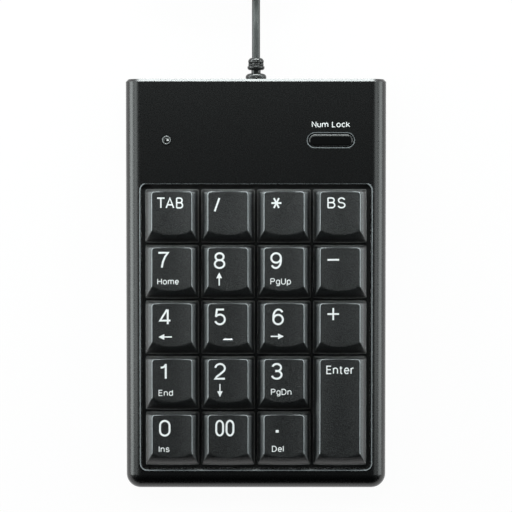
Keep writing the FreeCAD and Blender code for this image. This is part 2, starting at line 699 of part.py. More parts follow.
def keycap(name, u, v, length):
    half_length = length / 2
    body = cap_loft(u, v, half_length, 0, KEY_HEIGHT, 0)
    hollow = cap_loft(u, v, half_length, -0.2, KEY_CEILING, KEY_WALL)
    half_top = (KEY_PITCH - KEY_GAP) / 2 - TOP_SIDE_INSET
    dish_radius = (half_top ** 2 + DISH_DEPTH ** 2) / (2 * DISH_DEPTH)
    dish = Part.makeCylinder(dish_radius, length + 4,
                             V(u, v - half_length - 2, KEY_HEIGHT - DISH_DEPTH + dish_radius),
                             BACKWARD)
    shell = body.cut([hollow, dish])
    half = STEM / 2
    stem = square(u, v, STEM, STEM_BOTTOM, KEY_CEILING + 0.2)
    stem = stem.cut(square(u, v, STEM_BORE, STEM_BOTTOM + STEM_PAD, KEY_CEILING - 0.5))
    parts = [shell, stem]
    catch = DECK_TOP - DECK_THICK - TOUCH_GAP
    for side in (-1, 1):
        barb = Part.makePolygon([
            V(u + side * (half - 0.2), v - BARB_WIDTH / 2, catch),
            V(u + side * (half + BARB_REACH), v - BARB_WIDTH / 2, catch),
            V(u + side * (half - 0.2), v - BARB_WIDTH / 2, STEM_BOTTOM),
            V(u + side * (half - 0.2), v - BARB_WIDTH / 2, catch),
        ])
        parts.append(Part.Face(barb).extrude(V(0, BARB_WIDTH, 0)))
    if name == "5":
        parts.append(homing_bar(u, v))
    if name == "enter":
        parts += stabiliser_hooks()
    return on_deck(joined(parts))


def homing_bar(u, v):
    """Low round-ended bar near the front of the top face."""
    long, wide, high = HOMING_BAR
    floor = KEY_HEIGHT - DISH_DEPTH
    place = v - (KEY_PITCH - KEY_GAP) / 2 + TOP_FRONT_INSET + 1.9
    return stadium(u, place, long, wide, floor - 0.5, floor + high)


# ---------------------------------------------------------------- Num Lock button, light and board
def num_lock_button():
    """Pill-shaped button with a flange that keeps it under the panel and a pin that works the switch."""
    cap = stadium(BUTTON_U, BUTTON_V, BUTTON_LENGTH, BUTTON_WIDTH, FLANGE_TOP - 0.2, BUTTON_PROUD)
    crown = [e for e in cap.Edges if e.BoundBox.ZMin > BUTTON_PROUD - 1e-6]
    cap = cap.makeFillet(0.6, crown)
    flange = stadium(BUTTON_U, BUTTON_V, BUTTON_LENGTH + 2.4, BUTTON_WIDTH + 2.4, FLANGE_BOTTOM,
                     FLANGE_TOP)
    pin = rod(BUTTON_U, BUTTON_V, PLUNGER_TOP, FLANGE_BOTTOM + 0.2, 1.6)
    return on_deck(joined([cap, flange, pin]))


def tact_switch_body():
    top = BOARD_TOP + TACT_HEIGHT
    case = square(BUTTON_U, BUTTON_V, TACT_SIDE, BOARD_TOP, top)
    bore = rod(BUTTON_U, BUTTON_V, BOARD_TOP + 1.6, top + 1, PLUNGER_RADIUS + 0.05)
    return on_deck(case.cut(bore))


def tact_switch_plunger():
    low = BOARD_TOP + 1.6 + BUTTON_TRAVEL + TOUCH_GAP
    return on_deck(rod(BUTTON_U, BUTTON_V, low, PLUNGER_TOP, PLUNGER_RADIUS))


def num_lock_led():
    """Round clear lamp with a domed top that shows in the panel's hole."""
    top = 0.2
    body = rod(LED_U, LED_V, -4.6, top - LED_RADIUS, LED_RADIUS)
    dome = Part.makeSphere(LED_RADIUS, V(LED_U, LED_V, top - LED_RADIUS))
    foot_ring = rod(LED_U, LED_V, -4.6, -3.8, LED_RADIUS + 0.3)
    return on_deck(joined([body, dome, foot_ring]))


def led_leads():
    return on_deck(Part.makeCompound([
        block(LED_U + x - 0.25, LED_U + x + 0.25, LED_V - 0.25, LED_V + 0.25, BOARD_TOP, -4.6)
        for x in (-0.75, 0.75)]))


def controller_board():
    u0, u1, v0, v1 = BOARD
    board = rounded_prism(u0, u1, v0, v1, BOARD_TOP - BOARD_THICK, BOARD_TOP, (1, 1, 1, 1))
    places = BOARD_SCREWS + [(u, sum(CLAMP_V) / 2) for u in CLAMP_SCREW_U]
    holes = [rod(u, v, BOARD_TOP - 3, BOARD_TOP + 1, CLEARANCE_RADIUS) for u, v in places]
    return on_deck(board.cut(holes))


def board_screws():
    return on_deck(Part.makeCompound([flipped_screw(u, v, BOARD_TOP, 6) for u, v in BOARD_SCREWS]))


def membrane_clamp():
    v0, v1 = CLAMP_V
    low, high = BOARD_TOP + FILM_THICK, BOARD_TOP + CLAMP_THICK
    bar = rounded_prism(CLAMP_SCREW_U[0] - 2.4, CLAMP_SCREW_U[1] + 2.4, v0, v1, low, high,
                        (1.2, 1.2, 1.2, 1.2))
    holes = [rod(u, (v0 + v1) / 2, low - 1, high + 1, CLEARANCE_RADIUS) for u in CLAMP_SCREW_U]
    return on_deck(bar.cut(holes))


def clamp_screws():
    v = sum(CLAMP_V) / 2
    return on_deck(Part.makeCompound([flipped_screw(u, v, BOARD_TOP + CLAMP_THICK, 7.5)
                                      for u in CLAMP_SCREW_U]))


def controller_chip():
    """Wide flat chip with two rows of legs."""
    u0, u1, v0, v1 = CHIP
    body = block(u0, u1, v0, v1, BOARD_TOP + 0.3, BOARD_TOP + 2.5)
    legs = []
    first = (v0 + v1 - (CHIP_LEGS - 1) * CHIP_PITCH) / 2 - 0.2
    for i in range(CHIP_LEGS):
        v = first + i * CHIP_PITCH
        legs.append(block(u0 - 1.2, u0 + 0.2, v, v + 0.4, BOARD_TOP, BOARD_TOP + 0.5))
        legs.append(block(u1 - 0.2, u1 + 1.2, v, v + 0.4, BOARD_TOP, BOARD_TOP + 0.5))
    return on_deck(joined([body] + legs))


def crystal():
    return on_deck(stadium(*CRYSTAL_PLACE, 10.5, 4.2, BOARD_TOP, BOARD_TOP + 3.3))


def capacitors():
    return on_deck(Part.makeCompound([block(u - 1, u + 1, v - 0.65, v + 0.65, BOARD_TOP,
                                            BOARD_TOP + 1.1) for u, v in CAPACITOR_PLACES]))


def cable_header():
    """Shrouded pin header, open on top for the crimp housing."""
    long, wide, high = HEADER_SIZE
    shroud = block(HEADER_U - long / 2, HEADER_U + long / 2, HEADER_V - wide / 2,
                   HEADER_V + wide / 2, BOARD_TOP, BOARD_TOP + high)
    inside = block(HEADER_U - long / 2 + 0.7, HEADER_U + long / 2 - 0.7, HEADER_V - wide / 2 + 0.7,
                   HEADER_V + wide / 2 - 0.7, BOARD_TOP + 1, BOARD_TOP + high + 1)
    return on_deck(shroud.cut(inside))


def crimp_housing():
    """Plug on the header, with four wells that the lead wires end in."""
    long, wide, high = HEADER_SIZE
    body = block(HEADER_U - long / 2 + 0.8, HEADER_U + long / 2 - 0.8, HEADER_V - wide / 2 + 0.8,
                 HEADER_V + wide / 2 - 0.8, BOARD_TOP + 1, BOARD_TOP + high + 1.4)
    wells = [rod(HEADER_U + place * PIN_PITCH, HEADER_V, BOARD_TOP + high, BOARD_TOP + high + 2, 0.5)
             for place in LEAD_PLACES]
    return on_deck(body.cut(wells))


def lead_wires():
    """Four insulated leads, up out of the crimp housing, over the board and down to the jacket."""
    top = BOARD_TOP + HEADER_SIZE[2]
    leads = []
    for place in LEAD_PLACES:
        start = DECK_PLACE.multVec(V(HEADER_U + place * PIN_PITCH, HEADER_V, top))
        over = DECK_PLACE.multVec(V(HEADER_U + place * PIN_PITCH, HEADER_V, top + 3.2))
        x = place * LEAD_PITCH
        behind = V((over.x + x) / 2, 57.9, 18.6)
        route = [tuple(start), tuple(over), tuple(behind), (x, 60.2, 9.2),
                 (x, 61.4, CORD_HEIGHT), (x, JACKET_END, CORD_HEIGHT)]
        leads.append(tube(route, LEAD_RADIUS))
    return Part.makeCompound(leads)


def cord_jacket_end():
    inner_end = BODY_LENGTH / 2 - WALL - BOOT_INNER_FLANGE[1]
    return Part.makeCylinder(CORD_RADIUS, inner_end - JACKET_END, V(0, JACKET_END, CORD_HEIGHT),
                             BACKWARD)


def case_screws():
    head = CASE_BOTTOM + COUNTERBORE_DEPTH
    return Part.makeCompound([screw(x, y, head, CASE_SCREW_LENGTH) for x, y in CASE_SCREWS])


# ---------------------------------------------------------------- cord and plug
def strain_relief():
    """Ringed boot with a neck through the wall: outside it a collar, a waist, a ring and a slotted nose."""
    wall = BODY_LENGTH / 2
    inside = wall - WALL
    flange, thick = BOOT_INNER_FLANGE
    profile = [
        (0, inside - thick), (flange - 0.4, inside - thick), (flange, inside - thick + 0.4),
        (flange, inside), (NECK_RADIUS, inside), (NECK_RADIUS, wall),
    ]
    profile += [(r, wall + behind) for behind, r in BOOT_PROFILE]
    profile.append((0, CORD_START))
    solid = turned([(r, y, 0) for r, y in profile], V(0, 0, 0), BACKWARD)
    start, end = (wall + y for y in BOOT_SLOTS)
    half = BOOT_SLOT_HALF_WIDTH
    slots = []
    for near, far in ((BOOT_SLOT_FLOOR, BOOT_COLLAR), (-BOOT_COLLAR, -BOOT_SLOT_FLOOR)):
        slots.append(block(near, far, start, end, -half, half))
        slots.append(block(-half, half, start, end, near, far))
    return without(solid, slots).translated(V(0, 0, CORD_HEIGHT))


def cord_coil():
    """Outer shape of the neat coil, with a notch where the cord comes in and one where it leaves."""
    x, y = COIL_CENTRE
    inner, outer = COIL_RADII
    low, high = COIL_LIFT, COIL_LIFT + COIL_LAYERS * 2 * CORD_RADIUS
    ring = rod(x, y, low, high, outer).cut(rod(x, y, low - 1, high + 1, inner))
    r = CORD_RADIUS + 0.05
    way_in = block(-r, 4, y - 30, y, low - 1, FIRST_LAYER + r)
    way_out = block(x, x + 30, y - 30, TAIL_ROUTE[0][1] + r, TOP_LAYER - r, high + 1)
    return ring.cut([way_in, way_out])


def coil_ties():
    """Two flat straps round the bundle of turns."""
    x, y = COIL_CENTRE
    inner, outer = COIL_RADII
    high = COIL_LIFT + COIL_LAYERS * 2 * CORD_RADIUS
    t = COIL_LIFT
    near, far = inner - TIE_PLAY[0], outer + TIE_PLAY[1]
    straps = []
    for angle in TIE_ANGLES:
        strap = block(near - t, far + t, -TIE_HALF_WIDTH, TIE_HALF_WIDTH, 0, high + t)
        strap = strap.cut(block(near, far, -2 * TIE_HALF_WIDTH, 2 * TIE_HALF_WIDTH, t, high))
        strap.rotate(V(0, 0, 0), UP, angle)
        straps.append(strap.translated(V(x, y, 0)))
    return Part.makeCompound(straps)


def plug_start():
    return TAIL_ROUTE[-1][1]


def plug_relief():
    """Tapered, ribbed end of the plug's moulding."""
    y = plug_start()
    profile = [(0, y), (2.1, y)]
    for i in range(RELIEF_RIBS):
        base = y + 0.4 + i * RELIEF_RIB_PITCH
        r = 2.3 + 0.35 * i
        profile += [(r, base), (r, base + 1.0), (r - 0.4, base + 1.1), (r - 0.4, base + 1.8)]
    profile += [(3.0, y + RELIEF_LENGTH), (0, y + RELIEF_LENGTH)]
    solid = turned([(r, along, 0) for r, along in profile], V(0, 0, 0), BACKWARD)
    return solid.translated(V(PLUG_X, 0, PLUG_HEIGHT))


def plug_overmould():
    wide, long, high = OVERMOULD
    y = plug_start() + RELIEF_LENGTH
    solid = block(PLUG_X - wide / 2, PLUG_X + wide / 2, y, y + long, 0, high)
    edges = [e for e in solid.Edges if e.BoundBox.YLength > long / 2]
    solid = solid.makeFillet(OVERMOULD_ROUND, edges)
    back = [e for e in solid.Edges if e.BoundBox.YLength < 1e-6 and e.BoundBox.YMin < y + 1e-6]
    solid = solid.makeFillet(1.2, back)
    pocket = block(PLUG_X - SHELL[0] / 2, PLUG_X + SHELL[0] / 2, y + long - SHELL_GRIP, y + long + 1,
                   PLUG_HEIGHT - SHELL[2] / 2, PLUG_HEIGHT + SHELL[2] / 2)
    return solid.cut(pocket)


def shell_start():
    return plug_start() + RELIEF_LENGTH + OVERMOULD[1]


def plug_shell():
    """Folded metal sleeve with two square windows on each broad side."""
    wide, long, high = SHELL
    y = shell_start() - SHELL_GRIP
    end = shell_start() + long
    z0, z1 = PLUG_HEIGHT - high / 2, PLUG_HEIGHT + high / 2
    t = SHELL_WALL
    sleeve = block(PLUG_X - wide / 2, PLUG_X + wide / 2, y, end, z0, z1)
    hollow = block(PLUG_X - wide / 2 + t, PLUG_X + wide / 2 - t, y - 1, end + 1, z0 + t, z1 - t)
    half = WINDOW[0] / 2
    windows = [block(PLUG_X + x - half, PLUG_X + x + half, end - WINDOW_BACK,
                     end - WINDOW_BACK + WINDOW[1], z0 - 1, z1 + 1)
               for x in (-WINDOW_SPREAD, WINDOW_SPREAD)]
    return sleeve.cut([hollow] + windows)


def plug_tongue():
    """Plastic block that fills the lower half of the sleeve, with grooves for the contacts."""
    wide, long, high = SHELL
    t = SHELL_WALL
    z0 = PLUG_HEIGHT - high / 2 + t
    side = wide / 2 - t
    solid = block(PLUG_X - side, PLUG_X + side, shell_start() - SHELL_GRIP,
                  shell_start() + long - 0.4,
                  z0, z0 + TONGUE_THICK)
    return solid.cut(contact_bars())


def contact_bars():
    z1 = PLUG_HEIGHT - SHELL[2] / 2 + SHELL_WALL + TONGUE_THICK
    end = shell_start() + SHELL[1] - 1.2
    bars = []
    for x, long in CONTACTS:
        bars.append(block(PLUG_X + x - 0.5, PLUG_X + x + 0.5, end - long, end, z1 - 0.3, z1))
    return bars


def plug_contacts():
    return Part.makeCompound(contact_bars())


# ---------------------------------------------------------------- everything
def all_parts():
    parts = {
        "top_case": top_case(),
        "bottom_case": bottom_case(),
        "key_deck": key_deck(),
        "enter_stabiliser": enter_stabiliser(),
        "dome_sheet": dome_sheet(),
        "film_upper": film(0),
        "film_spacer": film(1, holes=CONTACT_HOLE),
        "film_lower": film(2, tail=True),
        "backing_plate": backing_plate(),
        "deck_screws": deck_screws(),
        "num_lock_button": num_lock_button(),
        "tact_switch_body": tact_switch_body(),
        "tact_switch_plunger": tact_switch_plunger(),
        "num_lock_led": num_lock_led(),
        "led_leads": led_leads(),
        "controller_board": controller_board(),
        "board_screws": board_screws(),
        "membrane_clamp": membrane_clamp(),
        "clamp_screws": clamp_screws(),
        "controller_chip": controller_chip(),
        "crystal": crystal(),
        "capacitors": capacitors(),
        "cable_header": cable_header(),
        "crimp_housing": crimp_housing(),
        "lead_wires": lead_wires(),
        "cord_jacket_end": cord_jacket_end(),
        "case_screws": case_screws(),
        "strain_relief": strain_relief(),
        "usb_cord": tube(CORD_ROUTE, CORD_RADIUS),
        "cord_coil": cord_coil(),
        "coil_ties": coil_ties(),
        "cord_tail": tube(TAIL_ROUTE, CORD_RADIUS),
        "plug_relief": plug_relief(),
        "plug_overmould": plug_overmould(),
        "plug_shell": plug_shell(),
        "plug_tongue": plug_tongue(),
        "plug_contacts": plug_contacts(),
    }
    for name, x, y in feet_places():
        parts[name] = foot(x, y)
    for name, u, v, length in key_places():
        parts[f"keycap_{name}"] = keycap(name, u, v, length)
    return parts


def main():
    os.makedirs("parts", exist_ok=True)
    for route in (CORD_ROUTE, TAIL_ROUTE):
        print("cord bend radii:", [round(r, 1) for r in bend_radii(route)])
    for name, shape in all_parts().items():
        if not shape.isValid():
            print("not valid:", name)
        shape.exportStep(f"parts/{name}.step")
        print(f"{name:22s} solids {len(shape.Solids):2d}  volume {shape.Volume:9.1f}")


main()
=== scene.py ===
# %% [markdown]
# # A numeric keypad, finished piece by piece
#
# The construction already exists as solids in one shared frame: the two halves of the case, the
# key deck, the switch films, nineteen keycaps and a cord with its plug. This lesson keeps every
# solid that already has the right shape and gives it a finish, and rebuilds as meshes those whose
# looks hang on small edges and curves: the keycaps, the light, the cord and its boot. Lettering, a
# homing bar and two fine rims are added. Nothing is moved, so a new piece goes where its solid is.

# %% Load the frame
import bmesh
import bpy
import json
import math
from mathutils import Matrix, Vector


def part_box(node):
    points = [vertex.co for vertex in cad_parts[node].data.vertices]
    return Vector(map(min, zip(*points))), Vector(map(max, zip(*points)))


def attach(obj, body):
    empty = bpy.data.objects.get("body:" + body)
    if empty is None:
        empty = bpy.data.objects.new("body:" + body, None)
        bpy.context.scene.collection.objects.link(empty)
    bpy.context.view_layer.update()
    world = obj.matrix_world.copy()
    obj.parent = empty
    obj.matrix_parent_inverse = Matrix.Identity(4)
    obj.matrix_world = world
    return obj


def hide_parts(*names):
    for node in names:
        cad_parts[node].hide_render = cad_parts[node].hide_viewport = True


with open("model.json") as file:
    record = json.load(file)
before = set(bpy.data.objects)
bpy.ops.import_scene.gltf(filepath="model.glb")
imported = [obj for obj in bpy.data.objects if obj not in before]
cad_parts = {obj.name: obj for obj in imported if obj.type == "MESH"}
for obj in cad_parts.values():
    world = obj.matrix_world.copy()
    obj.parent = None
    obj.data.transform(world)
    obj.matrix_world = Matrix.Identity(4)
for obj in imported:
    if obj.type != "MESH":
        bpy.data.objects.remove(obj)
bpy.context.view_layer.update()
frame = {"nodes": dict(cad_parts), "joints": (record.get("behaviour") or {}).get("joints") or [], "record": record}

MM = 0.001

# %% [markdown]
# ## The camera
#
# The keypad is looked at from straight above, from far away and with a long lens, so that its
# sides hardly show. A nearer camera would show more of the keys' flanks. It is made first, because
# the cord's coil has to lie outside what the camera sees.

# %% Camera
CAMERA_HEIGHT = 1.40
CAMERA_LENS = 284.2
CAMERA_BACK = 9.6 * MM

camera = bpy.data.objects.new("camera", bpy.data.cameras.new("camera"))
camera.data.lens = CAMERA_LENS
camera.data.sensor_width = 36
camera.data.clip_end = 10
camera.location = (0, CAMERA_BACK, CAMERA_HEIGHT)
bpy.context.scene.collection.objects.link(camera)
bpy.context.scene.camera = camera
print("camera looks straight down from", camera.location.z, "m")

# %% [markdown]
# ## The deck's own frame
#
# The panel slopes up to the back. Keys, lettering, light and button are easiest to draw flat, with
# u to the right, v up the slope and n square to the panel, and then to tilt as one. The slope is
# read from a key's joint, because a key travels square to the panel.

# %% Deck frame
travel_axis = Vector(next(j["axis"] for j in frame["joints"] if j["name"] == "press_5"))
SLOPE = math.asin(travel_axis.y)
PANEL_HEIGHT = 19.5
DECK = Matrix.Translation((0, 0, PANEL_HEIGHT)) @ Matrix.Rotation(SLOPE, 4, "X")


def polar(x, y, radius, degrees):
    """Point at a radius and an angle from a centre."""
    angle = math.radians(degrees)
    return (x + radius * math.cos(angle), y + radius * math.sin(angle))


def on_deck(points):
    """Points drawn in the deck's frame, tilted into place."""
    return [DECK @ Vector(p) for p in points]


PANEL_UP = DECK.to_3x3() @ Vector((0, 0, 1))
print("the panel slopes", round(math.degrees(SLOPE), 2), "degrees")

# %% [markdown]
# ## One way to make a mesh
#
# Most pieces here are rings of points joined by quads: a keycap's walls, a light's flange, a boot's
# ribs. One helper stacks equally long rings into points and faces, and another makes a mesh of them,
# puts it on its body with its finish and says which solids it stands for. Blender works in metres,
# but small plastic parts are easier to read in millimetres, so points are given in millimetres.

# %% Mesh helpers
def ring_faces(count, rings):
    """Quads between rings of count points each that lie one after the other."""
    faces = []
    for low in range(0, count * (rings - 1), count):
        for i in range(count):
            j = (i + 1) % count
            faces.append((low + i, low + j, low + count + j, low + count + i))
    return faces


def stack(rings, foot=True):
    """Points and faces of rings joined one after the other, closed at the lid and often the foot."""
    count = len(rings[0])
    points = [p for ring in rings for p in ring]
    faces = ring_faces(count, len(rings))
    if foot:
        faces.append(tuple(range(count))[::-1])
    faces.append(tuple(range(len(points) - count, len(points))))
    return points, faces


def dress(obj, finish, body, nodes=()):
    """Gives an object its finish, lets it ride on its body and stands it in for solids."""
    obj.data.materials.clear()
    obj.data.materials.append(finish)
    if obj.name not in bpy.context.scene.collection.objects:
        bpy.context.scene.collection.objects.link(obj)
    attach(obj, body)
    if nodes:
        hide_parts(*nodes)
    return obj


def piece(name, points, faces, finish, slot, body, nodes=(), sharp=40):
    """A smooth piece, whose edges stay crisp where its faces meet at a steeper angle than sharp."""
    mesh = bpy.data.meshes.new(name)
    mesh.from_pydata([Vector(p) * MM for p in points], [], faces)
    work = bmesh.new()
    work.from_mesh(mesh)
    bmesh.ops.recalc_face_normals(work, faces=work.faces)
    work.to_mesh(mesh)
    work.free()
    mesh.shade_smooth()
    mesh.set_sharp_from_angle(angle=math.radians(sharp))
    return dress(bpy.data.objects.new(name, mesh), finish, body, nodes)


print("a stack of three rings of four points has", len(stack([[(0, 0, 0)] * 4] * 3)[1]), "faces")

# %% [markdown]
# ## Shader sums written as sums
#
# A finish is mostly arithmetic on textures: a grain plus a slow mottle, times a strength. One small
# class wraps a node's output so that ordinary signs add Math nodes, and one method makes every other
# node. Numbers that are the same all over a surface are set on the shader's own sockets.

# %% Signals
class Signal:
    """A node's output that can be used in sums."""

    def __init__(self, finish, socket):
        self.finish = finish
        self.socket = socket

    def math(self, operation, first, second):
        return self.finish.node("ShaderNodeMath", {0: first, 1: second}, operation=operation)

    def __add__(self, other):
        return self.math("ADD", self, other)

    def __radd__(self, other):
        return self.math("ADD", other, self)

    def __sub__(self, other):
        return self.math("SUBTRACT", self, other)

    def __rsub__(self, other):
        return self.math("SUBTRACT", other, self)

    def __mul__(self, other):
        return self.math("MULTIPLY", self, other)

    def __rmul__(self, other):
        return self.math("MULTIPLY", other, self)


print("signs that a signal knows:", [name for name in vars(Signal) if name.startswith("__r")])

# %% Finishes made of nodes
class Finish:
    """A material built on one Principled shader."""

    def __init__(self, name, world=None):
        self.owner = world or bpy.data.materials.new(name)
        self.owner.use_nodes = True
        self.tree = self.owner.node_tree
        self.tree.nodes.clear()

    def node(self, kind, inputs=None, output=0, **settings):
        """Any node: its type, values or signals for its sockets, and its settings, set first."""
        made = self.tree.nodes.new(kind)
        for key, value in settings.items():
            setattr(made, key, value)
        for key, value in (inputs or {}).items():
            socket = made.inputs[key]
            if isinstance(value, Signal):
                self.tree.links.new(value.socket, socket)
            else:
                socket.default_value = value
        return Signal(self, made.outputs[output]) if made.outputs else self.owner

    def place(self):
        """Where a point lies on the object, in metres."""
        return self.node("ShaderNodeTexCoord", output="Object")

    def noise(self, scale, detail=2.0, roughness=0.5, stretch=None):
        """Soft random values from 0 to 1, with scale repeats to the metre."""
        where = self.place()
        if stretch:
            where = self.node("ShaderNodeVectorMath", {0: where, 1: stretch}, operation="MULTIPLY")
        return self.node("ShaderNodeTexNoise", {
            "Vector": where, "Scale": scale, "Detail": detail, "Roughness": roughness})

    def bands(self, direction, scale, distortion, detail):
        """Wavy stripes from 0 to 1."""
        return self.node("ShaderNodeTexWave", {
            "Vector": self.place(), "Scale": scale, "Distortion": distortion, "Detail": detail},
            wave_type="BANDS", bands_direction=direction)

    def facing(self, direction):
        """How squarely the skin faces a direction: 1 straight at it, 0 side on, -1 away."""
        normal = self.node("ShaderNodeTexCoord", output="Normal")
        return self.node("ShaderNodeVectorMath", {0: normal, 1: tuple(direction)}, output="Value",
                         operation="DOT_PRODUCT")

    def step(self, signal, low, high):
        """0 where a signal is under low, 1 where it is over high, and smooth between."""
        return self.node("ShaderNodeMapRange", {"Value": signal, "From Min": low, "From Max": high},
                         interpolation_type="SMOOTHSTEP")

    def blend(self, factor, first, second):
        """Colour between two colours."""
        return self.node("ShaderNodeMix", {0: factor, 6: first, 7: second}, output=2, data_type="RGBA")

    def bump(self, height, depth):
        """Surface normal of a relief whose heights go from 0 to depth metres."""
        return self.node("ShaderNodeBump", {"Height": height, "Distance": depth, "Strength": 1.0})

    def close(self, surface):
        """Joins the last shader to the material's output."""
        return self.node("ShaderNodeOutputMaterial", {"Surface": surface})

    def shade(self, **sockets):
        """The shader itself; socket names are written with _ for a space."""
        inputs = {key.replace("_", " "): value for key, value in sockets.items()}
        return self.close(self.node("ShaderNodeBsdfPrincipled", inputs))


print("a finish can make", [name for name in vars(Finish) if not name.startswith("_")])

# %% Tones
def tone(level, tint=(1, 1, 1)):
    """Colour of a display level from 0 to 255, lightly tinted, as a linear colour."""
    share = level / 255
    linear = share / 12.92 if share <= 0.04045 else ((share + 0.055) / 1.055) ** 2.4
    return (linear * tint[0], linear * tint[1], linear * tint[2], 1)


def scaled(colour, factor):
    """The same colour, darker or lighter."""
    return tuple(c * factor for c in colour[:3]) + (1,)


print("a display level of 128 is", round(tone(128)[0], 3), "in linear light")

# %% [markdown]
# ## Moulded plastic
#
# The case comes out of a spark-eroded mould: its skin is a fine, even grain that turns a hard
# reflection into a soft sheen. The keycaps have a finer but deeper grain and are a shade lighter.
# Both could be one flat colour with a roughness value, but then every edge looks cut from glass.
# Here a fine grain and a slow mottle vary colour and gloss, and the grain is a relief too. A cap's
# rounded edges are smoother and get a pale tone, a painted highlight; its sloping sides get a greyer,
# speckled tone, painted light of the side lamps; its front wall and the upright foot of all walls stay
# black, a painted shade. All are found from which way the skin faces at a point, so no mask has to be
# drawn.

# %% Case, keycap and deck plastic
# each pair is where a smooth step begins and ends; the level is 0 on an upright wall and 1 on top
# under the first level a wall's foot is painted shade, black; over the second it keeps its skin
FOOT_SHADE_ENDS = (0.35, 0.6)
SIDES_FROM = (0.45, 0.62)
SIDES_TO = (0.72, 0.84)
EDGES_FROM = (0.84, 0.90)
EDGES_TO = (0.95, 0.975)
FRONT_FROM = (0.12, 0.28)


def grained_plastic(name, colour, roughness, grain_scale, grain_depth, mottle=0.25, sheen=0.0,
                    edge_highlight=None, flank_light=None):
    """Moulded black plastic; caps get painted edge highlights, side light and shade at the foot."""
    make = Finish(name)
    grain = make.noise(grain_scale, detail=3.0, roughness=0.6)
    drift = make.noise(60, detail=2.0)
    # noise crowds around one half, so it is spread before it picks the colour
    speckle = (grain - 0.5) * 5.0 + 0.35 + drift * 0.3
    skin = make.blend(speckle, scaled(colour, 1 - mottle), scaled(colour, 1 + mottle))
    gloss = roughness + 0.06 * mottle * (speckle - 0.5)
    if edge_highlight:
        level = make.facing(PANEL_UP)
        # the front walls face away from the lamps, so the painted light and highlight below leave them out
        not_front = 1 - make.step(make.facing((0, -1, 0)), *FRONT_FROM)
        sides = make.step(level, *SIDES_FROM) * (1 - make.step(level, *SIDES_TO)) * not_front
        edges = make.step(level, *EDGES_FROM) * (1 - make.step(level, *EDGES_TO)) * not_front
        # painted shade: the foot of the walls is black
        skin = make.blend(make.step(level, *FOOT_SHADE_ENDS), tone(4), skin)
        # painted light: the sloping sides, front excepted, get a greyer speckled tone, as if lit by the side lamps
        skin = make.blend(sides * (0.5 + 0.9 * speckle), skin, flank_light)
        # painted highlight: the rounded edges, front excepted, get a pale tone and less roughness
        skin = make.blend(edges, skin, edge_highlight)
        gloss = gloss - 0.10 * edges
    return make.shade(
        Base_Color=skin,
        Roughness=gloss,
        Normal=make.bump(grain, grain_depth),
        Specular_IOR_Level=0.6,
        Sheen_Weight=sheen,
        Sheen_Roughness=0.2,
    )


COOL = (0.93, 1.0, 1.04)
case_plastic = grained_plastic("case_plastic", tone(4, COOL), 0.27, 1500, 0.000002, 0.2, 0.15)
# on the caps the pale edge tone is a painted highlight and the grey side tone is painted side light
keycap_plastic = grained_plastic("keycap_plastic", tone(25, COOL), 0.34, 2700, 0.00014, 0.95, 0.24,
                                 edge_highlight=tone(190, COOL), flank_light=tone(70, COOL))
deck_plastic = grained_plastic("deck_plastic", tone(3), 0.5, 1500, 0.00002)
button_plastic = grained_plastic("button_plastic", tone(5, COOL), 0.16, 3000, 0.000001)
print("plastics:", case_plastic.name, keycap_plastic.name, deck_plastic.name, button_plastic.name)

# %% [markdown]
# ## The cord
#
# The cord is 2.8 mm thick, limp, and about 0.85 m long. It leaves the boot level, sinks to the
# table within three centimetres and runs straight back; what is not in use is wound into a neat coil
# of two layers, held by two straps, with the plug beside it. A tube swept along an exact path of
# lines and arcs would look like bent wire, so the whole cord is one smooth NURBS curve that is
# drawn towards a few points, with a round bevel. The coil's turns come from a loop: round and
# round at a steady radius, with a short step inwards or outwards once a turn.

# %% Cord route
CORD_RADIUS = 1.4
CORD_HEIGHT = 7.0
FIRST_LAYER = 1.9
TOP_LAYER = 4.7
COIL_CENTRE = (-19.7, 125.0)
CORD_START = (0, 77.85, CORD_HEIGHT)
ROUTE_OUT = [CORD_START, (0, 85.5, CORD_HEIGHT), (0, 95.5, 2.6), (0, 103.5, CORD_RADIUS),
             (0, 114.2, FIRST_LAYER)]
ROUTE_BACK = [(-8.5, 105.3, TOP_LAYER), (3.5, 105.6, 4.5), (11.5, 108.6, 3.0), (15.8, 114.5, 4.0),
              (15.8, 121.0, 4.0)]
TURNS = 7.75
POINTS_PER_TURN = 16
TURN_RADII = [19.7, 16.9, 14.1, 11.3]
# where in the winding each step to the next radius, and the climb to the top layer, begin
STEP_LENGTH = 0.13
STEPS = [(0.77, 19.7, 16.9), (1.77, 16.9, 14.1), (2.77, 14.1, 11.3),
         (4.60, 11.3, 14.1), (5.60, 14.1, 16.9), (6.60, 16.9, 19.7)]
CLIMB_START = 3.78
CLIMB_LENGTH = 0.18


def eased(share):
    """Smooth way from 0 to 1."""
    share = min(max(share, 0), 1)
    return share * share * (3 - 2 * share)


def coil_point(turn):
    """Place of the cord's centre after so many turns of the coil."""
    radius = TURN_RADII[0]
    for start, before, after in STEPS:
        radius += (after - before) * eased((turn - start) / STEP_LENGTH)
    height = FIRST_LAYER + (TOP_LAYER - FIRST_LAYER) * eased((turn - CLIMB_START) / CLIMB_LENGTH)
    # a curve drawn towards points on a circle runs a little inside it
    radius /= (1 + math.cos(math.pi / POINTS_PER_TURN)) / 2
    return (*polar(*COIL_CENTRE, radius, 360 * turn), height)


coil = [coil_point(i / POINTS_PER_TURN) for i in range(int(TURNS * POINTS_PER_TURN) + 1)]
cord_points = ROUTE_OUT + coil + ROUTE_BACK
print("the cord is drawn through", len(cord_points), "points,", len(coil), "of them in the coil")

# %% [markdown]
# The jacket is soft grey-green PVC with a satin skin. Many other pieces also need just this: a
# colour that drifts slowly between two tones, and a fine grain that varies gloss and relief. So the
# jacket's finish is one function that the boot, the ink and the rubber parts use again.

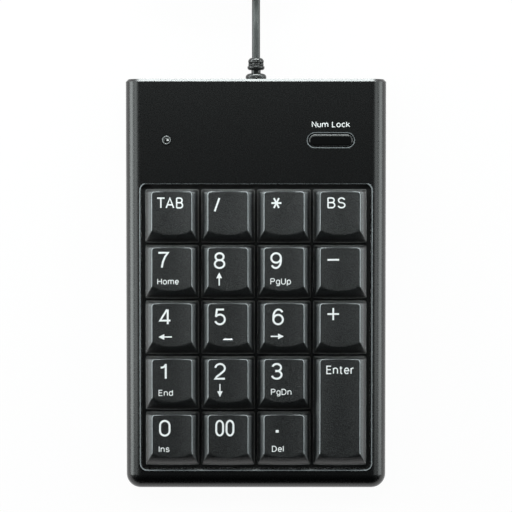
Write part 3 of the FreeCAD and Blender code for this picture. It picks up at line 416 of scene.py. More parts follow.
# %% Mottled finish and cord jacket
def mottled(name, dark, light, mottle_scale, roughness, spread, grain_scale=None, depth=0.0, **constants):
    """Finish that drifts between two tones; without a grain the drift varies the gloss too."""
    make = Finish(name)
    drift = make.noise(mottle_scale)
    grain = drift
    if grain_scale:
        grain = make.noise(grain_scale)
        constants["Normal"] = make.bump(grain, depth)
    return make.shade(Base_Color=make.blend(drift, dark, light), Roughness=roughness + spread * grain,
                      **constants)


cord_jacket = mottled("cord_jacket", tone(40, (0.9, 1.0, 0.96)), tone(50, (0.9, 1.0, 0.97)), 220, 0.36,
                      0.12, 2400, 0.00001)
print("the jacket's green is", round(cord_jacket.node_tree.nodes["Mix"].inputs[7].default_value[1], 3))

# %% Cord
curve = bpy.data.curves.new("cord", "CURVE")
curve.dimensions = "3D"
curve.bevel_depth = CORD_RADIUS * MM
curve.bevel_resolution = 6
curve.resolution_u = 8
spline = curve.splines.new("NURBS")
spline.points.add(len(cord_points) - 1)
for point, place in zip(spline.points, cord_points):
    point.co = (*(Vector(place) * MM), 1)
spline.use_endpoint_u = True
spline.order_u = 3
cord = dress(bpy.data.objects.new("cord", curve), cord_jacket, "housing",
             ("usb_cord", "cord_coil", "cord_tail"))

# %% [markdown]
# ## The boot
#
# Where the cord leaves the case it is moulded into a soft boot that keeps it from kinking: a
# cushion-shaped collar against the wall, a waist, a ring and a slotted nose. The rings stay joined
# by small webs, first above and below the cord, then left and right, so that the boot can bend
# every way. Cutting slots out of a turned body would work too; here the body is turned from a
# profile and the webs are added as curved blocks, which keeps every edge clean.

# %% Boot measures
BOOT_LENGTH = 7.95
BOOT_FLANGE = 1.6
boot_low, boot_high = (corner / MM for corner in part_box("strain_relief"))
BACK_WALL = boot_high.y - BOOT_LENGTH
BOOT_INSIDE = boot_low.y + BOOT_FLANGE - BACK_WALL
NECK = 2.4
# distance behind the wall and radius
BOOT_BODY = [(BOOT_INSIDE - BOOT_FLANGE, 1.4), (BOOT_INSIDE - BOOT_FLANGE, 3.2),
             (BOOT_INSIDE - BOOT_FLANGE + 0.4, 3.6), (BOOT_INSIDE, 3.6), (BOOT_INSIDE, NECK),
             (0.5, NECK), (0.6, 3.1), (0.78, 3.45), (1.05, 3.6), (1.55, 3.58), (2.0, 3.38), (2.35, 3.0),
             (2.55, 2.4), (2.65, 1.62), (3.7, 1.62), (3.74, 2.3), (3.95, 2.7), (4.2, 2.9), (4.5, 2.97),
             (4.95, 2.95), (5.1, 2.8), (5.14, 1.62), (5.3, 1.62), (5.34, 2.6), (5.42, 2.7), (5.58, 2.7),
             (5.66, 2.6), (5.7, 1.62), (6.3, 1.62), (6.34, 2.5), (6.45, 2.7), (6.8, 2.72), (7.2, 2.6),
             (7.55, 2.35), (7.78, 2.08), (7.92, 1.8), (7.95, 1.42)]
TURN_STEPS = 56
WEB_STEPS = 6
WEB_INNER = 1.5
print("the boot's profile has", len(BOOT_BODY), "points behind the wall at y", round(BACK_WALL, 2))

# %% Boot
def around(y, radius, degrees):
    """Point beside the boot's axis; 0 degrees is to the right and 90 up."""
    x, z = polar(0, CORD_HEIGHT, radius, degrees)
    return (x, BACK_WALL + y, z)


def turned(profile):
    """A body turned round the boot's axis, closed at both ends."""
    return stack([[around(y, r, 360 * k / TURN_STEPS) for k in range(TURN_STEPS)] for y, r in profile])


def web(middle, stations):
    """Curved block between two rings; stations are (distance, outer radius, half angle)."""
    rings = []
    for y, outer, half in stations:
        sweep = [middle - half + 2 * half * k / WEB_STEPS for k in range(WEB_STEPS + 1)]
        rings.append([around(y, outer, a) for a in sweep]
                     + [around(y, WEB_INNER, a) for a in reversed(sweep)])
    return stack(rings)


def merged(parts):
    """One list of points and faces from several."""
    points, faces = [], []
    for more_points, more_faces in parts:
        faces += [tuple(i + len(points) for i in face) for face in more_faces]
        points += more_points
    return points, faces


boot_parts = [turned(BOOT_BODY)]
for middle in (90, 270):
    boot_parts.append(web(middle, [(2.3, 2.5, 22), (3.2, 2.2, 15), (4.0, 2.5, 28)]))
for middle in (0, 180):
    boot_parts.append(web(middle, [(5.0, 2.62, 20), (6.5, 2.62, 20)]))
PVC_TINT = (0.95, 1.0, 0.97)
boot_rubber = mottled("boot_rubber", tone(20, PVC_TINT), tone(34, PVC_TINT), 700, 0.20, 0.12, 2200,
                      0.00001)
boot = piece("boot", *merged(boot_parts), boot_rubber, "boot_rubber", "housing", ["strain_relief"], 28)
print("the boot reaches", BOOT_LENGTH, "mm behind the wall")

# %% [markdown]
# The cord is limp; this cell prints the height at which it leaves the boot.

# %% The cord's height
print("the cord leaves the boot", CORD_HEIGHT, "mm over the table")

# %% [markdown]
# ## Keycaps
#
# A cap is a thin-walled tapered box. Its side walls lean in on the left and right, most of all at
# the front, and hardly at the back; its top is a shallow trough that runs from front to back. What
# one sees of it is mostly its edges: a tight round one at the sides and back, which catches the
# light as a bright line, and a wide soft one at the front. Cutting a trough out of a box and
# bevelling the result gives torn edges where the trough meets the walls. Here each cap is built
# from rings instead: up the walls, over the edge along a small quadratic curve, and in over the
# trough. The solid's own box gives each cap's place, width and length.

# %% Keycap measures
KEY_HEIGHT = 8.0
KEY_WALL = 1.2
KEY_CEILING = 5.8
SIDE_INSET = 2.35
FRONT_INSET = 3.9
BACK_INSET = 0.35
BASE_CORNER = 0.6
TOP_CORNER = 1.1
FRONT_CORNER = 0.35
LEAST_CORNER = 0.3
DISH_DEPTH = 0.7
WALL_CURVE = 4.0                # 1 would be a flat wall; more makes it fuller
EDGE_REACH = 0.3
FRONT_EDGE_REACH = 0.5
EDGE_FADE_FROM = 1.0            # how far behind the front edge the side edges begin to widen
EDGE_FADE = 0.8
FRONT_BOW = 0.55
BOW_BAND = 1.2                  # how far behind the front wall the bow fades out
CORNER_STEPS = 6
SIDE_STEPS = 12
EDGE_STEPS = 6
WALL_RINGS = (0.0, 0.35, 0.55, 0.7, 0.8, 0.88, 0.94)
TROUGH_RINGS = (0.96, 0.88, 0.78, 0.66, 0.5, 0.34, 0.18, 0.05)
STEM_HALF = 2.5
STEM_BOTTOM = -6.0
STEM_BEVEL = 0.3


def key_frame(node):
    """Centre u and v, half width and half length of a cap's base, from its solid."""
    low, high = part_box(node)
    tilt = math.cos(SLOPE) * MM
    return ((low.x + high.x) / 2 / MM, (low.y + high.y) / 2 / tilt,
            (high.x - low.x) / 2 / MM, (high.y - low.y) / 2 / tilt)


print("a cap's base, from its middle:", [round(x, 2) for x in key_frame("keycap_5")], "mm")

# %% Outline of a cap
def rounded_outline(x0, x1, y0, y1, front, back):
    """Rectangle with round corners, counter-clockwise from the right front corner."""
    points = []
    corners = [(x1 - front, y0 + front, -90, front), (x1 - back, y1 - back, 0, back),
               (x0 + back, y1 - back, 90, back), (x0 + front, y0 + front, 180, front)]
    for i, (cx, cy, start, corner) in enumerate(corners):
        points += [polar(cx, cy, corner, start + 90 * k / CORNER_STEPS) for k in range(CORNER_STEPS + 1)]
        next_x, next_y, next_start, next_corner = corners[(i + 1) % 4]
        here = Vector(points[-1])
        way = Vector(polar(next_x, next_y, next_corner, next_start)) - here
        points += [tuple(here + way * (k / SIDE_STEPS)) for k in range(1, SIDE_STEPS)]
    return points


print("a cap's outline has", len(rounded_outline(-1, 1, -1, 1, 0.5, 0.5)), "points")

# %% Shape of a cap
class Keycap:
    """The shape of one cap in the deck's frame."""

    def __init__(self, node):
        self.u, self.v, self.half_width, self.half_length = key_frame(node)
        half_top = self.half_width - SIDE_INSET
        self.dish_radius = (half_top ** 2 + DISH_DEPTH ** 2) / (2 * DISH_DEPTH)

    def top(self, u):
        """Height of the trough at a distance u from the cap's middle."""
        r = self.dish_radius
        return KEY_HEIGHT - DISH_DEPTH + r - math.sqrt(r * r - u * u)

    def outline(self, share, inset=0.0, front_inset=None):
        """The walls' outline at a share of the cap's height, around the cap's middle."""
        lean = share ** WALL_CURVE
        side = self.half_width - SIDE_INSET * lean - inset
        front = FRONT_INSET * lean - self.half_length + (inset if front_inset is None else front_inset)
        back = self.half_length - BACK_INSET * lean - inset
        corner = max(BASE_CORNER + (TOP_CORNER - BASE_CORNER) * share - inset, LEAST_CORNER)
        points = rounded_outline(-side, side, front, back, FRONT_CORNER, corner)
        # the front wall is bowed: its middle stands forward of its corners, more so higher up
        return [(u, v + FRONT_BOW * share * (u / side) ** 2 * eased((front + BOW_BAND - v) / BOW_BAND))
                for u, v in points]

    def wall_point(self, i, share):
        u, v = self.outline(share)[i]
        return Vector((u, v, share * KEY_HEIGHT))

    def rim(self):
        """Share of the height at which each point of the walls meets the trough."""
        shares = [1.0] * len(self.outline(1))
        for _ in range(3):
            shares = [self.top(self.outline(s)[i][0]) / KEY_HEIGHT for i, s in enumerate(shares)]
        return shares

    def rings(self):
        """Rings from the base up the walls, over the edge and in over the trough."""
        shares = self.rim()
        count = range(len(shares))
        edge = [self.wall_point(i, shares[i]) for i in count]
        front_v = -self.half_length + FRONT_INSET
        reach = [EDGE_REACH + (FRONT_EDGE_REACH - EDGE_REACH)
                 * eased((front_v + EDGE_FADE_FROM - p.y) / EDGE_FADE) for p in edge]
        below = [self.wall_point(i, shares[i] - reach[i] / KEY_HEIGHT) for i in count]
        inside = []
        for i in count:
            u, v = self.outline(shares[i], EDGE_REACH, FRONT_EDGE_REACH)[i]
            inside.append(Vector((u, v, self.top(u))))
        rings = [[self.wall_point(i, share) for i in count] for share in WALL_RINGS]
        for k in range(EDGE_STEPS + 1):
            t = k / EDGE_STEPS
            rings.append([a * (1 - t) ** 2 + b * (2 * t * (1 - t)) + c * t ** 2
                          for a, b, c in zip(below, edge, inside)])
        middle_v = (front_v + self.half_length - BACK_INSET) / 2
        for scale in TROUGH_RINGS:
            ring = []
            for p in inside:
                u, v = p.x * scale, middle_v + (p.y - middle_v) * scale
                ring.append(Vector((u, v, self.top(u))))
            rings.append(ring)
        return rings

    def hollow(self, share):
        """Inside of the walls at a share of the cap's height."""
        return [Vector((u, v, share * KEY_HEIGHT)) for u, v in self.outline(share, KEY_WALL)]

    def stem(self):
        """Square post under the cap that slides in the deck's sleeve, with a closed foot."""
        outer = [(STEM_HALF, KEY_CEILING), (STEM_HALF, STEM_BOTTOM + STEM_BEVEL),
                 (STEM_HALF - STEM_BEVEL, STEM_BOTTOM)]
        return stack([[Vector((x * half, y * half, n)) for x, y in ((-1, -1), (1, -1), (1, 1), (-1, 1))]
                      for half, n in outer], foot=False)

    def solid(self):
        """Outer skin, hollow and stem as points and faces in place."""
        skin = stack([self.hollow(KEY_CEILING / KEY_HEIGHT), self.hollow(0)] + self.rings())
        points, faces = merged([skin, self.stem()])
        return on_deck([p + Vector((self.u, self.v, 0)) for p in points]), faces


print("a cap's sides lean in by", SIDE_INSET, "mm and its front by", FRONT_INSET, "mm")

# %% Caps
caps = {node.removeprefix("keycap_"): Keycap(node) for node in sorted(frame["nodes"])
        if node.startswith("keycap_")}
for key, cap in caps.items():
    piece(f"cap_{key}", *cap.solid(), keycap_plastic, "keycap_plastic", f"key_{key}",
          [f"keycap_{key}"], 50)
print(len(caps), "caps of", len(caps["5"].rings()[0]), "points a ring; the dish has a radius of",
      round(caps["5"].dish_radius, 1), "mm")

# %% [markdown]
# ## The homing bar
#
# The middle key carries a low round-ended bar that a finger finds without looking. It could be
# bevelled out of a block; here it is a stack of three slot-shaped outlines, the last one drawn in, and
# its foot is sunk a little into the trough. It is smoother than the cap, and its pale tone is a painted
# highlight along it.

# %% Homing bar
BAR_LENGTH = 3.7
BAR_WIDTH = 0.95
BAR_HEIGHT = 0.42
BAR_EDGE = 0.42
BAR_SUNK = 0.2
BAR_FROM_FRONT = 1.45


def slot_outline(length, width, steps=10):
    """Outline of a slot with full round ends, counter-clockwise, around its middle."""
    r = width / 2
    reach = length / 2 - r
    points = []
    for side, start in ((1, -90), (-1, 90)):
        points += [polar(side * reach, 0, r, start + 180 * k / steps) for k in range(steps + 1)]
    return points


five = caps["5"]
bar_v = five.v - five.half_length + FRONT_INSET + BAR_FROM_FRONT
bar_floor = five.top(0)
bar_rings = []
for drawn_in, n in ((0, -BAR_SUNK), (0, BAR_HEIGHT - BAR_EDGE), (2 * BAR_EDGE, BAR_HEIGHT)):
    bar_rings.append([(five.u + x, bar_v + y, bar_floor + n)
                      for x, y in slot_outline(BAR_LENGTH - drawn_in, BAR_WIDTH - drawn_in)])
points, faces = stack(bar_rings, foot=False)
# the bar's pale tone is a painted highlight
bar_highlight = grained_plastic("bar_painted_highlight", tone(128, COOL), 0.25, 1900, 0.00001)
piece("homing_bar", on_deck(points), faces, bar_highlight, "keycap_plastic", "key_5")
print("homing bar at v", round(bar_v, 2), "mm")

# %% [markdown]
# ## Lettering
#
# The legends are printed: a thin film of off-white ink that follows the trough. A texture could do
# this, but here they are thin meshes, because a mesh can be laid exactly on the trough and stays
# sharp at any distance. Flat strokes are drawn first, around the cap's middle. Then they are sliced
# along u so that they can bend, and every point is put a hair above the surface.

# %% Strokes
ARC_STEP = 14                   # degrees between two points of an arc
MITRE_LIMIT = 0.55


def arc(centre_x, centre_y, across, along, start, end):
    """Points of an elliptic arc, with angles in degrees from start to end."""
    steps = max(3, int(abs(end - start) / ARC_STEP))
    angles = [math.radians(start + (end - start) * k / steps) for k in range(steps + 1)]
    return [(centre_x + across * math.cos(a), centre_y + along * math.sin(a)) for a in angles]


def stroke_shape(path, width):
    """Flat ribbon of one width along a path; a path that ends where it starts is a ring."""
    closed = math.dist(path[0], path[-1]) < 1e-6
    points = [Vector(p) for p in (path[:-1] if closed else path)]
    count = len(points)
    left, right = [], []
    for i, p in enumerate(points):
        before = points[i - 1] if closed or i else p - (points[1] - p)
        after = points[(i + 1) % count] if closed or i + 1 < count else p + (p - points[i - 1])
        way_in, way_out = (p - before).normalized(), (after - p).normalized()
        along = (way_in + way_out).normalized()
        across = Vector((-along.y, along.x))
        # where the path turns, the ribbon's corner reaches further, but not without limit
        reach = width / 2 / max(along.dot(way_in), MITRE_LIMIT)
        left.append(p + across * reach)
        right.append(p - across * reach)
    shape = bmesh.new()
    sides = [[shape.verts.new((q.x, q.y, 0)) for q in side] for side in (left, right)]
    for i in range(count if closed else count - 1):
        j = (i + 1) % count
        shape.faces.new((sides[0][i], sides[1][i], sides[1][j], sides[0][j]))
    return shape


def polygon_shape(points, left, foot):
    """A flat bmesh with one face, moved so that its left edge and its foot lie at given places."""
    right_by, up_by = left - min(x for x, _ in points), foot - min(y for _, y in points)
    shape = bmesh.new()
    shape.faces.new([shape.verts.new((x + right_by, y + up_by, 0)) for x, y in points])
    return shape


print("a full circle of the lettering has", len(arc(0, 0, 1, 1, 0, 360)) - 1, "sides")

# %% Ink on a surface
INK_PROUD = 0.025
COAT = 0.003
COATS = 4
SLICE = 0.45
SLICED_HALF = 20
legend_ink = mottled("legend_ink", tone(246, (0.99, 1.0, 1.0)), tone(255, (0.99, 1.0, 1.0)), 900, 0.5, 0.1)


def lay_ink(name, shapes, surface, place, body):
    """Joins flat shapes, slices them and lays them on a surface given as a height over u."""
    ink = bmesh.new()
    for k, shape in enumerate(shapes):
        # crossing strokes lie at slightly different heights, as one coat of ink over another
        for v in shape.verts:
            v.co.z = k % COATS * COAT
        flat = bpy.data.meshes.new("flat")
        shape.to_mesh(flat)
        ink.from_mesh(flat)
        shape.free()
        bpy.data.meshes.remove(flat)
    lines = int(SLICED_HALF / SLICE)
    for k in range(-lines, lines + 1):
        bmesh.ops.bisect_plane(ink, geom=ink.verts[:] + ink.edges[:] + ink.faces[:], dist=1e-6,
                               plane_co=(k * SLICE, 0, 0), plane_no=(1, 0, 0))
    # slicing lists its points and faces in any order, so they are sorted to be the same each time
    order = {v: i for i, v in enumerate(sorted(ink.verts, key=lambda v: v.co[:]))}
    upper = [v.co + Vector((*place, surface(v.co.x) + INK_PROUD)) for v in order]
    lower = [p - Vector((0, 0, 2 * INK_PROUD)) for p in upper]
    faces = []
    for face in ink.faces:
        ring = [order[v] for v in face.verts]
        first = ring.index(min(ring))
        faces.append(tuple(ring[first:] + ring[:first]))
    ink.free()
    faces.sort()
    edges = {edge for face in faces for edge in zip(face, face[1:] + face[:1])}
    sides = sorted(edge for edge in edges if edge[::-1] not in edges)
    count = len(order)
    faces += [tuple(i + count for i in reversed(face)) for face in faces]
    faces += [(a, b, b + count, a + count) for a, b in sides]
    piece(name, on_deck(upper + lower), faces, legend_ink, "legend_ink", body, (), 30)


print("ink stands", INK_PROUD, "mm proud")

# %% [markdown]
# ## An alphabet of strokes
#
# The letters are plain grotesque ones of one stroke width. Blender's own letters could be used, but
# they are heavier and rounder. Here each sign is one to three paths of straight lines and arcs for
# the middle of the stroke, with a capital's height as the unit, and a ribbon is drawn along them.
# So a word keeps one stroke width whatever box it is fitted into. SMALL is the height of a small
# letter, and TAIL how far some of them hang under the line.

# %% Strokes of the signs
SMALL = 0.74
TAIL = -0.27


def oval(x, y, across, along):
    return arc(x, y, across, along, 0, 360)


def arch(start_x, half):
    """The bend and right leg of n and m."""
    return [(start_x, SMALL - half - 0.06), *arc(start_x + half, SMALL - half, half, half, 180, 0),
            (start_x + 2 * half, 0)]


def bowl(x, y, across, along, left=0):
    """Half round to the right of a stem, as in B, P and D."""
    return [(left, y + along), *arc(x, y, across, along, 90, -90), (left, y - along)]


STROKES = {
    "0": [arc(0.3, 0.68, 0.3, 0.32, 0, 180) + arc(0.3, 0.32, 0.3, 0.32, 180, 360) + [(0.6, 0.68)]],
    "1": [[(0, 0.75), (0.13, 0.77), (0.22, 0.83), (0.27, 0.92)], [(0.29, 1), (0.29, 0)]],
    "2": [[*arc(0.3, 0.7, 0.3, 0.3, 172, -32), (0.3, 0.3), (0.1, 0.15), (0.0, 0), (0.6, 0)]],
    "3": [[*arc(0.29, 0.755, 0.27, 0.245, 165, -85), (0.2, 0.51)],
          [(0.2, 0.53), *arc(0.29, 0.265, 0.3, 0.265, 85, -165)]],
    "4": [[(0.62, 0.25), (0, 0.25), (0.42, 1)], [(0.46, 1), (0.46, 0)]],
    "5": [[(0.54, 1), (0.11, 1), (0.045, 0.5)], arc(0.29, 0.33, 0.3, 0.33, 145, -160)],
    "6": [oval(0.3, 0.32, 0.3, 0.32), [(0, 0.33), *arc(0.32, 0.52, 0.32, 0.48, 180, 38)]],
    "7": [[(0, 1), (0.6, 1), (0.42, 0.73), (0.29, 0.4), (0.21, 0)]],
    "8": [oval(0.3, 0.76, 0.255, 0.24), oval(0.3, 0.27, 0.3, 0.27)],
    "9": [oval(0.3, 0.68, 0.3, 0.32), [(0.6, 0.67), *arc(0.28, 0.48, 0.32, 0.48, 0, -142)]],
    "/": [[(0, 0), (0.42, 1)]],
    "*": [[(0.5 + r * math.cos(a), 0.5 + r * math.sin(a)) for r in (-0.5, 0.5)]
          for a in (0, math.pi / 3, 2 * math.pi / 3)],
    "A": [[(0, 0), (0.38, 1), (0.76, 0)], [(0.12, 0.31), (0.64, 0.31)]],
    "B": [[(0, 0), (0, 1)], bowl(0.33, 0.765, 0.22, 0.235), bowl(0.35, 0.265, 0.25, 0.265)],
    "D": [[*bowl(0.28, 0.5, 0.42, 0.5), (0, 1)]],
    "E": [[(0.56, 1), (0, 1), (0, 0), (0.58, 0)], [(0, 0.53), (0.52, 0.53)]],
    "H": [[(0, 0), (0, 1)], [(0.7, 0), (0.7, 1)], [(0, 0.53), (0.7, 0.53)]],
    "I": [[(0, 0), (0, 1)]],
    "L": [[(0, 1), (0, 0), (0.5, 0)]],
    "N": [[(0, 0), (0, 1), (0.68, 0), (0.68, 1)]],
    "P": [[(0, 0), (0, 1)], bowl(0.36, 0.74, 0.27, 0.26)],
    "S": [[*arc(0.31, 0.755, 0.27, 0.245, 12, 245), *arc(0.31, 0.255, 0.3, 0.255, 68, -168)]],
    "T": [[(0, 1), (0.76, 1)], [(0.38, 1), (0.38, 0)]],
    "U": [[(0, 1), *arc(0.33, 0.31, 0.33, 0.31, 180, 360), (0.66, 1)]],
    "c": [arc(0.29, SMALL / 2, 0.29, SMALL / 2, 42, 318)],
    "d": [[(0.56, 0), (0.56, 1)], oval(0.28, SMALL / 2, 0.28, SMALL / 2)],
    "e": [[(0.02, 0.38), (0.57, 0.38), *arc(0.29, SMALL / 2, 0.28, SMALL / 2, 8, 318)]],
    "g": [oval(0.28, SMALL / 2, 0.28, SMALL / 2),
          [(0.56, SMALL), *arc(0.29, TAIL + 0.22, 0.27, 0.22, 0, -150)]],
    "k": [[(0, 0), (0, 1)], [(0.5, SMALL), (0.02, 0.28)], [(0.2, 0.43), (0.54, 0)]],
    "l": [[(0, 0), (0, 1)]],
    "m": [[(0, 0), (0, SMALL)], arch(0, 0.25), arch(0.5, 0.25)],
    "n": [[(0, 0), (0, SMALL)], arch(0, 0.27)],
    "o": [oval(0.31, SMALL / 2, 0.31, SMALL / 2)],
    "p": [[(0, TAIL), (0, SMALL)], oval(0.28, SMALL / 2, 0.28, SMALL / 2)],
    "r": [[(0, 0), (0, SMALL)], [(0, 0.42), *arc(0.25, SMALL - 0.27, 0.25, 0.27, 180, 75)]],
    "s": [[*arc(0.26, 0.555, 0.22, 0.185, 12, 245), *arc(0.26, 0.185, 0.26, 0.185, 68, -168)]],
    "t": [[(0.15, 0.95), *arc(0.28, 0.13, 0.13, 0.13, 180, 270), (0.34, 0)], [(0, SMALL), (0.34, SMALL)]],
    "u": [[(0, SMALL), *arc(0.26, 0.26, 0.26, 0.26, 180, 350)], [(0.52, SMALL), (0.52, 0)]],
}
print("signs in the alphabet:", len(STROKES))

# %% Setting a word
GAP = 0.3
WORD_SPACE = 0.5
KERN = {"TA": -0.13, "AB": 0.02}
TINY = 1e-6                     # a word of one upright stroke has no width of its own


def word(text, left, foot, width, height, stroke):
    """Strokes of a word whose ink fills the box given by its left edge, foot and size."""
    paths, pen = [], 0.0
    for i, sign in enumerate(text):
        if sign == " ":
            pen += WORD_SPACE
            continue
        pen += KERN.get(text[max(i - 1, 0):i + 1], 0)
        strokes = STROKES[sign]
        paths += [[(pen + x, y) for x, y in path] for path in strokes]
        pen += max(x for path in strokes for x, _ in path) + GAP
    xs = [x for path in paths for x, _ in path]
    ys = [y for path in paths for _, y in path]
    across = (width - stroke) / max(max(xs) - min(xs), TINY)
    along = (height - stroke) / (max(ys) - min(ys))
    shift_x = left + stroke / 2 - min(xs) * across
    shift_y = foot + stroke / 2 - min(ys) * along
    return [stroke_shape([(x * across + shift_x, y * along + shift_y) for x, y in path], stroke)
            for path in paths]


print("a gap between letters is", GAP, "of a capital's height")

# %% [markdown]
# Digits are 5.7 mm high in the upper left of each cap, small words and arrows stand in the lower
# left. The minus, the plus, the point and the arrows are drawn as outlines, because their strokes
# are of other widths than the letters'. Every legend is given by its left edge, foot and size.

# %% Parts of legends
DIGIT = (3.9, 5.7)
DIGIT_STROKE = 0.67
CAPITAL_STROKE = 0.49
SMALL_STROKE = 0.28
RIGHT, UP, LEFT, DOWN = range(4)


def digit(text, left, foot, width=DIGIT[0]):
    return word(text, left, foot, width, DIGIT[1], DIGIT_STROKE)


def capitals(text, left, foot, width, height=3.8, stroke=CAPITAL_STROKE):
    return word(text, left, foot, width, height, stroke)


def small(text, left, foot, width, height=2.1):
    return word(text, left, foot, width, height, SMALL_STROKE)


def arrow(direction, left, foot, width, height, head=2.0, stem=0.42):
    """Solid arrow in a box, pointing along +x turned by so many quarter turns."""
    long, wide = (width, height) if direction in (RIGHT, LEFT) else (height, width)
    half = wide / 2
    outline = [(0, -stem / 2), (long - head, -stem / 2), (long - head, -half), (long, 0),
               (long - head, half), (long - head, stem / 2), (0, stem / 2)]
    quarter = Matrix.Rotation(math.pi / 2 * direction, 2)
    return [polygon_shape([quarter @ Vector(p) for p in outline], left, foot)]


def plus_sign(left, foot, width, height, stroke):
    """Upright cross with arms of one stroke's width."""
    x, y, s = width / 2, height / 2, stroke / 2
    return [polygon_shape([(-x, -s), (-s, -s), (-s, -y), (s, -y), (s, -s), (x, -s), (x, s), (s, s),
                           (s, y), (-s, y), (-s, s), (-x, s)], left, foot)]


def bar(left, foot, width, height):
    return [polygon_shape([(0, 0), (width, 0), (width, height), (0, height)], left, foot)]


print("a digit is", DIGIT[1], "mm high, of strokes", DIGIT_STROKE, "mm wide")

# %% Legends
LEGENDS = {
    "tab": capitals("TAB", -5.2, 2.95, 9.1),
    "divide": capitals("/", -4.8, 1.7, 2.2, 5.15, 0.62),
    "multiply": capitals("*", -4.6, 2.85, 4.0, 3.95, 0.6),
    "backspace": capitals("BS", -4.4, 3.0, 6.2),
    "7": digit("7", -4.9, 1.6) + small("Home", -4.95, -3.87, 7.3),
    "8": digit("8", -4.8, 1.45) + arrow(UP, -3.95, -4.2, 1.95, 4.5),
    "9": digit("9", -4.65, 1.45) + small("PgUp", -4.65, -4.4, 7.0, 2.7),
    "minus": bar(-4.3, 4.25, 3.95, 0.6),
    "4": digit("4", -4.35, 1.3, 4.15) + arrow(LEFT, -4.6, -3.7, 4.55, 2.0),
    "5": digit("5", -4.65, 1.3),
    "6": digit("6", -3.95, 1.3) + arrow(RIGHT, -4.55, -3.5, 4.5, 2.0),
    "plus": plus_sign(-4.3, 3.05, 3.95, 4.15, 0.6),
    "1": digit("1", -4.2, 1.75, 2.4) + small("End", -4.6, -3.83, 4.9),
    "2": digit("2", -4.65, 1.75) + arrow(DOWN, -3.7, -4.2, 1.9, 4.45),
    "3": digit("3", -4.4, 1.75) + small("PgDn", -4.45, -4.0, 7.0, 2.6),
    "enter": capitals("Enter", -4.65, 13.15, 9.4, 2.95, 0.38),
    "0": digit("0", -4.45, 1.3) + small("Ins", -4.55, -4.05, 3.65),
    "00": digit("00", -4.35, 1.35, 6.5),
    "point": bar(-2.8, 2.65, 1.0, 0.9) + small("Del", -4.1, -3.95, 4.0),
}
for key, shapes in LEGENDS.items():
    cap = caps[key]
    lay_ink(f"legend_{key}", shapes, cap.top, (cap.u, cap.v), f"key_{key}")
print(len(LEGENDS), "caps are lettered")

# %% Label of the lock button
BUTTON_U, BUTTON_V = 25.5, 49.2
lay_ink("legend_num_lock", word("Num Lock", -6.5, 4.4, 13.0, 2.0, 0.29), lambda u: 0.0,
        (BUTTON_U, BUTTON_V), "housing")
print("the button's label stands behind its hole at u", BUTTON_U, "v", BUTTON_V)

# %% [markdown]
# ## The light and the rims on the panel
#
# The lock light is a clear lamp with a pale flange that fills its hole; from above one sees the
# flange as a grey ring and a dark lens with a small bright dot on it. The flange's grey is partly a
# painted highlight of the lit ring, and the dot is a painted glint. A glass body with a lamp in it
# could be built, but it would look much the same at this size. Round the button's hole the panel dips
# a little in a narrow glossy rim: it is only a third of a millimetre wide, but its pale tone, a painted
# highlight, draws the thin grey line that sets the button off from the panel. The keys' well has such
# a lip too, with the same painted highlight, and it sinks away towards its back edge.

# %% Lock light
LIGHT_U, LIGHT_V = -30.5, 49.2
LIGHT_RADIUS = 1.5
LENS_RADIUS = 1.02
LENS_STEPS = 10
# each ring of a part: its radius, and its height over the panel
FLANGE = [(LIGHT_RADIUS, -4.6), (LIGHT_RADIUS, -0.05), (LIGHT_RADIUS - 0.08, 0.1),
          (LIGHT_RADIUS - 0.25, 0.17), (LENS_RADIUS + 0.08, 0.1), (LENS_RADIUS, -0.1)]
LENS = [(LENS_RADIUS * math.cos(a), -0.12 + 0.3 * math.sin(a))
        for a in (math.pi / 2 * k / LENS_STEPS for k in range(LENS_STEPS))]
# a pale dot that paints the lens's glint
LENS_GLINT = [(0.34, 0.1), (0.34, 0.185), (0.28, 0.2), (0.05, 0.21)]


def glossy(name, colour, roughness):
    """Smooth moulded surface whose gloss drifts a little."""
    return mottled(name, scaled(colour, 0.8), colour, 1200, roughness, 0.05)


def light_part(name, u, v, levels, steps, colour, roughness, nodes=()):
    """One round part of the light."""
    points, faces = stack([[(*polar(u, v, radius, 360 * k / steps), n) for k in range(steps)]
                           for radius, n in levels])
    piece(name, on_deck(points), faces, glossy(name, colour, roughness), "clear_epoxy", "housing",
          nodes, 60)


# the flange's pale grey is partly its own milky tone and partly a painted highlight of the lit ring
light_part("light_flange", LIGHT_U, LIGHT_V, FLANGE, 40, tone(108, (0.96, 1, 1)), 0.2, ["num_lock_led"])
light_part("light_lens", LIGHT_U, LIGHT_V, LENS, 40, tone(22), 0.06)
# the bright dot is a painted glint on the lens
light_part("lens_glint", LIGHT_U + 0.42, LIGHT_V + 0.05, LENS_GLINT, 20, tone(235), 0.3)
print("the light is", 2 * LIGHT_RADIUS, "mm across")

# %% Rims round the button's hole and the well
HOLE_LENGTH, HOLE_WIDTH = 15.8, 4.8
WELL_HALF, WELL_FRONT, WELL_BACK = 39.1, -63.6, 34.0
WELL_CORNER = 1.8
FADE = 8                        # the lip sinks away over this length before the well's back
# for each ring of a rim: how far outside the opening it runs, and its height over the panel
HOLE_RIM = [(0.34, -0.04), (0.34, 0.01), (0.13, -0.045), (0.04, -0.12), (0.0, -0.22), (0.0, -0.35),
            (0.1, -0.35)]
WELL_RIM = [(0.68, -0.05), (0.66, 0.0), (0.62, 0.04), (0.55, 0.06), (0.30, -0.015), (0.25, -0.06),
            (0.25, -0.2), (0.4, -0.2)]


def hole_outline(out_by):
    """The button's hole, grown outwards."""
    return [(BUTTON_U + x, BUTTON_V + y)
            for x, y in slot_outline(HOLE_LENGTH + 2 * out_by, HOLE_WIDTH + 2 * out_by, 16)]


